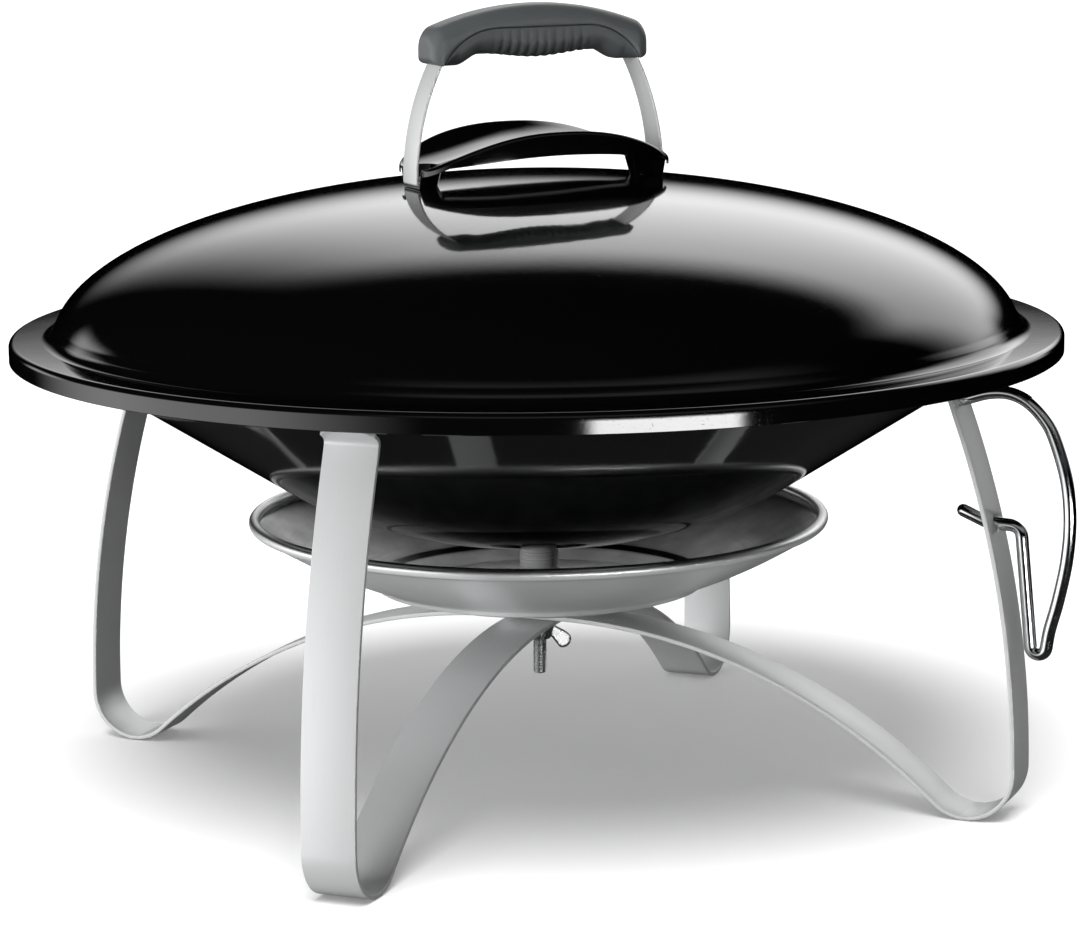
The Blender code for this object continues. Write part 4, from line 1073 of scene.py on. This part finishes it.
def lower_section(reach):
    """Cross-section of the lower shell: a flat joint above and a round ribbed underside."""
    top = parting_height(reach) - GAP / 2
    low = underside_height(reach)
    half = GRIP_WIDTH / 2 - 0.0006
    ribs = rib_cut(reach)
    depth = top - low
    side, belly = GRIP_BELLY
    belly = min(belly, 0.85 * depth)
    edge = min(0.0006, 0.1 * depth)
    ring = [(half * 0.5, top), (half - edge, top), (half, top - edge)]
    for i in range(17):
        angle = math.radians(5.6 * i)
        share = math.sin(angle)
        depth_here = ribs * min(1.0, 0.15 + 1.2 * share)
        across = half - side + (side - depth_here) * math.cos(angle)
        ring.append((across, low + belly - (belly - depth_here) * share))
    ring.append((half * 0.12, low + ribs))
    return grip_section(reach, ring)


def make_grips(upper_material, lower_material):
    upper = skin("grip_upper_moulded", [upper_section(x) for x in grip_reaches(GRIP_LENGTH / 2, 110)],
                 upper_material, 42.0)
    last = JOINT[-1][0] - 0.0015
    count = 300
    lower = skin("grip_lower_ribbed", [lower_section(last * (2 * i / count - 1)) for i in range(count + 1)],
                 lower_material, 42.0)
    for side in (-1, 1):
        x = side * GRIP_SCREW_REACH
        cut(lower, rod(f"screw_recess_{side}", (x, 0, GRIP_BOTTOM - PAST), (x, 0, SCREW_SEAT),
                       SCREW_HEAD_RADIUS + GAP, 32))
    place_on_handle(upper, "grey_nylon", "handle_grip_upper")
    place_on_handle(lower, "ribbed_nylon", "handle_grip_lower")


def shield_top(reach):
    return SHIELD_TOP - SHIELD_SAG * (abs(reach) / SHIELD_REACH) ** SHIELD_SAG_POWER


def shield_half_width(reach):
    share = min(1.0, abs(reach) / SHIELD_REACH) ** 5
    past = min(SHIELD_CORNER, abs(reach) - SHIELD_REACH + SHIELD_CORNER)
    corner = SHIELD_CORNER - math.sqrt(SHIELD_CORNER ** 2 - past ** 2) if past > 0 else 0.0
    return SHIELD_HALF_WIDTH - (SHIELD_HALF_WIDTH - SHIELD_END_HALF_WIDTH) * share - corner


def troughed_edge(half, top, corner):
    """Half of the plate's upper outline, from the bottom of its trough out and round its bent edge."""
    hollow = SHIELD_TROUGH / SHIELD_HALF_WIDTH ** 2
    rise = math.atan(2 * hollow * half)
    join = half - corner * (1 + math.sin(rise))
    level = top - corner * (1 - math.cos(rise))
    reaches = [join * i / 10 for i in range(10)]
    points = [(y, level - hollow * (join ** 2 - y ** 2)) for y in reaches]
    return points + arc((half - corner, top - corner), corner, 90 + math.degrees(rise), 0, 9)


def shield_body_section(reach):
    """Cross-section of a solid body under the plate's troughed top."""
    outline = troughed_edge(shield_half_width(reach), shield_top(reach), SHIELD_EDGE_BEND)
    return [Vector((reach, y, z)) for y, z in mirrored(outline + [(outline[-1][0], SHIELD_DEPTH)])]


def shield_hollow_section(reach):
    """Cross-section of what the body loses: all of it but the sheet and its two turned-down edges."""
    half = shield_half_width(reach)
    top = shield_top(reach)
    lip = min(SHIELD_LIP_LEVEL - SHIELD_LIP_ARCH * reach ** 2, top - SHIELD_END_LIP)
    outline = troughed_edge(half - SHIELD_SHEET, top - SHIELD_SHEET, SHIELD_INNER_BEND)
    wall = outline[-1][0]
    outline += [(wall, lip), (half + PAST, lip), (half + PAST, SHIELD_DEPTH - PAST)]
    return [Vector((reach, y, z)) for y, z in mirrored(outline)]


def shield_reaches(past_end):
    """Places along the shield for its cross-sections, closer together towards the ends."""
    half = [SHIELD_REACH * math.sin(math.radians(3 * i)) for i in range(31)] + [SHIELD_REACH + past_end]
    return [-reach for reach in half[:0:-1]] + half


def cup_shape(name, side, grow, low):
    """A cone at one end of the shield, from a height above the lid up through the plate."""
    rim = [(CUP_FLOOR_RADIUS + grow + CUP_SLANT * z, z) for z in (low, CUP_HEIGHT)]
    cone = revolve(name, [(0, low)] + rim + [(0, CUP_HEIGHT)], None, 96)
    cone.data.transform(handle_bolt_place(side, CUP_CENTRE))
    return cone


def box(name, low, high):
    bm = bmesh.new()
    size = Vector(high) - Vector(low)
    bmesh.ops.create_cube(bm, size=1.0, matrix=Matrix.Translation((Vector(high) + Vector(low)) / 2)
                          @ Matrix.Diagonal((*size, 1.0)))
    return finish_mesh(name, bm, None)


def make_heat_shield(material):
    """A leaf-shaped arched plate with a cup at each end, open outwards, that the bracket's foot stands in."""
    shield = skin("heat_shield_pressed", [shield_body_section(x) for x in shield_reaches(0.002)], material)
    hollow = skin("shield_hollow", [shield_hollow_section(x) for x in shield_reaches(0.006)], None)
    for side in (-1, 1):
        cut(hollow, cup_shape(f"cup_outside_{side}", side, 0.0, GAP))
    bake(hollow)
    cut(shield, hollow)
    for side in (-1, 1):
        near, far = sorted((side * SHIELD_REACH, side * OPENING_REACH))
        cut(shield, cup_shape(f"cup_inside_{side}", side, -SHIELD_SHEET, GAP + SHIELD_SHEET),
            box(f"cup_opening_{side}", (near, -OPENING_HALF_WIDTH, OPENING_LOW),
                (far, OPENING_HALF_WIDTH, OPENING_HIGH)))
    bake(shield)
    shield.data.shade_smooth()
    shield.data.set_sharp_from_angle(angle=math.radians(28))
    place_on_handle(shield, "gloss_shield", "heat_shield")


def button_head(radius, height, seat, steps=8):
    """Half outline of a round head standing on z = seat, from its edge up to its crown."""
    rim = 0.15 * height
    points = [(radius, seat), (radius, seat + rim)]
    for i in range(1, steps + 1):
        angle = math.radians(90 * i / steps)
        points.append((radius * math.cos(angle), seat + rim + (height - rim) * math.sin(angle)))
    return points


def make_handle_fasteners(side_name, side, material):
    """A button-head bolt with a hexagon socket from above, and a washer and a nut under the lid."""
    seat = SHIELD_SHEET + BRACKET_THICKNESS + 3 * GAP
    crown = seat + BUTTON_HEAD_HEIGHT
    tail = -HANDLE_BOLT_TAIL
    shank = HANDLE_BOLT_RADIUS
    profile = [(0.0, tail), (shank - 0.0004, tail), (shank, tail + 0.0005), (shank, seat)]
    profile += button_head(BUTTON_HEAD_RADIUS, BUTTON_HEAD_HEIGHT, seat)
    bolt = revolve(f"handle_bolt_{side_name}_button_head", profile, material)
    cut(bolt, rod(f"socket_{side_name}", (0, 0, crown - SOCKET_DEPTH), (0, 0, crown + PAST),
                  SOCKET_RADIUS, 6))
    under = -ENAMELLED_SHEET - 2 * GAP
    washer_low = under - HANDLE_WASHER_THICKNESS
    washer = revolve(f"handle_washer_{side_name}_turned",
                     washer_profile(HANDLE_BOLT_HOLE, HANDLE_WASHER_RADIUS, washer_low, under), material)
    nut_high = washer_low - GAP
    nut = revolve(f"handle_nut_{side_name}_hex", nut_profile(nut_high - HANDLE_NUT_HEIGHT, nut_high),
                  material, 72)
    cut_flats(nut)
    for piece, node in ((bolt, "handle_bolt"), (washer, "handle_washer"), (nut, "handle_nut")):
        bake(piece)
        piece.data.transform(handle_bolt_place(side))
        place_on_handle(piece, "zinc", f"{node}_{side_name}")


def nut_profile(low, high):
    """Outline of a nut before its flats are cut: a disc as wide as its corners, trimmed at both ends."""
    corner, bore, trim = HANDLE_NUT_CORNER, HANDLE_BOLT_HOLE, 0.0006
    return [(bore, low), (corner - trim, low), (corner, low + trim * 0.6), (corner, high - trim * 0.6),
            (corner - trim, high), (bore, high)]


def cut_flats(nut):
    """Draws a round nut's outside in to the six flats of a hexagon."""
    for vert in nut.data.vertices:
        reach = math.hypot(vert.co.x, vert.co.y)
        angle = math.atan2(vert.co.y, vert.co.x)
        from_flat = (angle + math.pi / 6) % (math.pi / 3) - math.pi / 6
        limit = HANDLE_NUT_ACROSS / 2 / math.cos(from_flat)
        if reach > limit:
            vert.co.x *= limit / reach
            vert.co.y *= limit / reach


def make_grip_screw(side_name, side, material):
    """A pan-head screw with a cross recess, seen from below in the grip."""
    seat = SCREW_SEAT - GAP
    head = button_head(SCREW_HEAD_RADIUS, SCREW_HEAD_HEIGHT, seat)
    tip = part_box(f"grip_screw_{side_name}")[1].z
    profile = [(radius, 2 * seat - z) for radius, z in head[::-1]]
    profile += [(SCREW_RADIUS, seat), (SCREW_RADIUS, tip - 0.0015), (0.0, tip)]
    screw = revolve(f"grip_screw_{side_name}_pan_head", profile, material)
    face = seat - SCREW_HEAD_HEIGHT
    for turned in (0, 1):
        slot = box(f"cross_{side_name}_{turned}", (-CROSS_HALF_LENGTH, -CROSS_HALF_WIDTH, face - PAST),
                   (CROSS_HALF_LENGTH, CROSS_HALF_WIDTH, face + CROSS_DEPTH))
        if turned:
            turn(slot, math.pi / 2)
        cut(screw, slot)
    bake(screw)
    screw.data.transform(Matrix.Translation((side * GRIP_SCREW_REACH, 0, 0)))
    place_on_handle(screw, "zinc", f"grip_screw_{side_name}")


# ---------------------------------------------------------------- studio and camera

CAMERA_AZIMUTH = -22.6          # degrees round from the front
CAMERA_ELEVATION = 10.49
CAMERA_ROLL = -0.63
CAMERA_DISTANCE = 2.700
CAMERA_TARGET = (0.0015, 0.22715)   # to the right of the axis, and above the floor
CAMERA_LENS = 124.75            # mm, on a 36 mm sensor

# Softboxes as the gloss sees them. Across: degrees round from the camera to its middle, half width and width
# of the soft edge. Up: the same above the horizon. Then brightness.
SOFTBOXES = (
    ((157, 36, 14), (26.5, 15, 6), 2.5),      # behind the object
    ((-80, 36, 22), (-4, 13, 5), 2.6),        # left
    ((27, 16, 2), (-9, 2.5, 1.5), 21.0),      # right, thin and bright
    ((131, 9, 5), (6, 7, 4), 1.2),            # far right
    ((-131, 9, 5), (6, 7, 4), 1.3),           # far left
    ((15, 48, 20), (28, 13, 8), 0.3),         # front, wide and weak
)
BACKDROP = 1.05                 # brightness of the white behind the object
SKY_LIGHT = 0.58                # brightness all round for matt surfaces
SIDE_LIGHT = {"azimuth": -50, "elevation": 4, "spread": 30, "strength": 6.8}
FLOOR_LIGHT = {"azimuth": -8, "elevation": 65, "spread": 38, "strength": 3.4}
FLOOR_BOUNCE = 0.50             # share of its light that the floor throws back on the object
FLOOR_FILL = 0.10               # light on the floor that nothing shades
FLOOR_GLOSS = 0.03              # brightness of the floor in reflections


def bearing(azimuth, elevation=0.0):
    """Unit vector towards a place round the object: degrees round from the front, and above the horizon."""
    turned, raised = math.radians(azimuth), math.radians(elevation)
    return Vector((math.sin(turned) * math.cos(raised), -math.cos(turned) * math.cos(raised),
                   math.sin(raised)))


def softbox_shape(nodes, level_way, height, across, up):
    """How much of one softbox shows in a direction: 1 inside it, fading to 0 over its soft edge."""
    towards = nodes.add("ShaderNodeVectorMath", operation="DOT_PRODUCT")
    nodes.join(level_way, towards.inputs[0])
    towards.inputs[1].default_value = bearing(across[0] + CAMERA_AZIMUTH)
    aside = nodes.math("ARCCOSINE", nodes.math("MINIMUM", towards.outputs["Value"], 0.99999))
    above = nodes.math("ABSOLUTE", nodes.math("SUBTRACT", height, math.radians(up[0])))
    shares = []
    for offset, (_, half, soft) in ((aside, across), (above, up)):
        shares.append(nodes.span(offset, math.radians(half + soft), math.radians(half - soft), 0.0, 1.0,
                                 smooth=True))
    return nodes.times(*shares)


def make_world():
    """White to the camera, an even sky to matt surfaces, and a dark studio with softboxes to the gloss."""
    world = bpy.data.worlds.new("soft studio")
    bpy.context.scene.world = world
    world.use_nodes = True
    world.cycles.sampling_method = "NONE"
    nodes = Nodes(world.node_tree)
    way = nodes.add("ShaderNodeTexCoord").outputs["Generated"]
    height = nodes.math("ARCSINE", nodes.part_of(way, "Z"))
    level = nodes.add("ShaderNodeVectorMath", operation="MULTIPLY")
    nodes.join(way, level.inputs[0])
    level.inputs[1].default_value = (1, 1, 0)
    level_way = nodes.add("ShaderNodeVectorMath", operation="NORMALIZE")
    nodes.join(level.outputs[0], level_way.inputs[0])
    gloss = nodes.span(height, math.radians(-14), math.radians(-34), 0.0, FLOOR_GLOSS, smooth=True)
    for across, up, brightness in SOFTBOXES:
        shape = softbox_shape(nodes, level_way.outputs[0], height, across, up)
        gloss = nodes.plus(gloss, nodes.times(shape, brightness))
    ray = nodes.add("ShaderNodeLightPath")
    light = nodes.blend(ray.outputs["Is Diffuse Ray"], gloss, grey(SKY_LIGHT))
    light = nodes.blend(ray.outputs["Is Camera Ray"], light, grey(BACKDROP))
    nodes.join(light, world.node_tree.nodes["Background"].inputs["Color"])


def make_light(name, azimuth, elevation, spread, strength, receivers):
    """A soft far light, out of the gloss, that falls on the given objects only."""
    light = bpy.data.lights.new(name, "SUN")
    light.angle = math.radians(spread)
    light.energy = strength
    lamp = bpy.data.objects.new(name, light)
    bpy.context.scene.collection.objects.link(lamp)
    lamp.rotation_mode = "QUATERNION"
    lamp.rotation_quaternion = bearing(azimuth + CAMERA_AZIMUTH, elevation).to_track_quat("Z", "Y")
    lamp.visible_glossy = False
    lit = bpy.data.collections.new(name + " receivers")
    for obj in receivers:
        lit.objects.link(obj)
    lamp.light_linking.receiver_collection = lit


def make_floor():
    """A plain white floor that catches soft shadows and stays out of the gloss."""
    bm = bmesh.new()
    bmesh.ops.create_grid(bm, x_segments=1, y_segments=1, size=40.0)
    floor = finish_mesh("studio_floor", bm, None)
    floor.location.z = -0.0006
    look = Surface("pale floor")
    pale = look.blend(look.cloud(30.0), grey(0.905), grey(0.915))
    seen = look.add("ShaderNodeLightPath").outputs["Is Camera Ray"]
    look.give(Base_Color=look.blend(seen, grey(FLOOR_BOUNCE), pale), Roughness=1.0, Specular_IOR_Level=0.0,
              Emission_Color=grey(1.0), Emission_Strength=FLOOR_FILL)
    floor.data.materials.append(look.material)
    floor.visible_glossy = False
    return floor


def make_camera():
    camera = bpy.data.objects.new("camera", bpy.data.cameras.new("camera"))
    bpy.context.scene.collection.objects.link(camera)
    back = bearing(CAMERA_AZIMUTH, CAMERA_ELEVATION)
    right = bearing(CAMERA_AZIMUTH + 90)
    target = right * CAMERA_TARGET[0] + Vector((0, 0, CAMERA_TARGET[1]))
    camera.location = target + back * CAMERA_DISTANCE
    camera.rotation_mode = "QUATERNION"
    roll = Quaternion((0, 0, 1), math.radians(CAMERA_ROLL))
    camera.rotation_quaternion = (-back).to_track_quat("-Z", "Y") @ roll
    camera.data.sensor_width = 36.0
    camera.data.lens = CAMERA_LENS
    camera.data.clip_start, camera.data.clip_end = 0.05, 200.0
    bpy.context.scene.camera = camera


# ---------------------------------------------------------------- assembly

def build():
    enamel = enamel_material("black fired enamel")
    shield_enamel = enamel_material("black gloss shield", soft_edges=True)
    strap = brushed_surface("satin nickel strap", 0.56, 0.46, 0.52).material
    aluminium = spun_material("spun aluminium")
    turned = brushed_surface("turned steel tube", 0.85, 0.25, 0.45, lines=3200.0, along=2.0).material
    chrome = chrome_material("bright chrome wire")
    zinc = zinc_material("zinc plating")
    nylon = nylon_material("dark grey nylon", 0.070, 0.44, 2600.0)
    ribbed_nylon = nylon_material("ribbed dark grey nylon", 0.058, 0.50, 3400.0)
    grate = grate_material("hot drawn steel")

    make_lid(enamel)
    make_bowl(enamel)
    make_fire_grate(grate)
    make_ash_pan(aluminium)
    make_spacer_tube(turned)
    make_centre_stud(zinc)
    make_washer("stud_washer", "base", zinc)
    make_washer("strap_washer", "loose_washer", zinc)
    make_wing_nut(zinc)
    make_leg_straps(strap)
    make_lid_hanger(chrome)
    make_grips(nylon, ribbed_nylon)
    make_bracket(strap)
    make_heat_shield(shield_enamel)
    for side_name, side in (("left", -1), ("right", 1)):
        make_handle_fasteners(side_name, side, zinc)
        make_grip_screw(side_name, side, zinc)
    pieces = [obj for obj in bpy.context.scene.objects if obj.type == "MESH" and not obj.hide_render]
    make_world()
    make_light("side light", receivers=pieces, **SIDE_LIGHT)
    make_light("floor light", receivers=[make_floor()], **FLOOR_LIGHT)
    make_camera()
    bpy.context.scene.view_settings.view_transform = "Standard"


build()
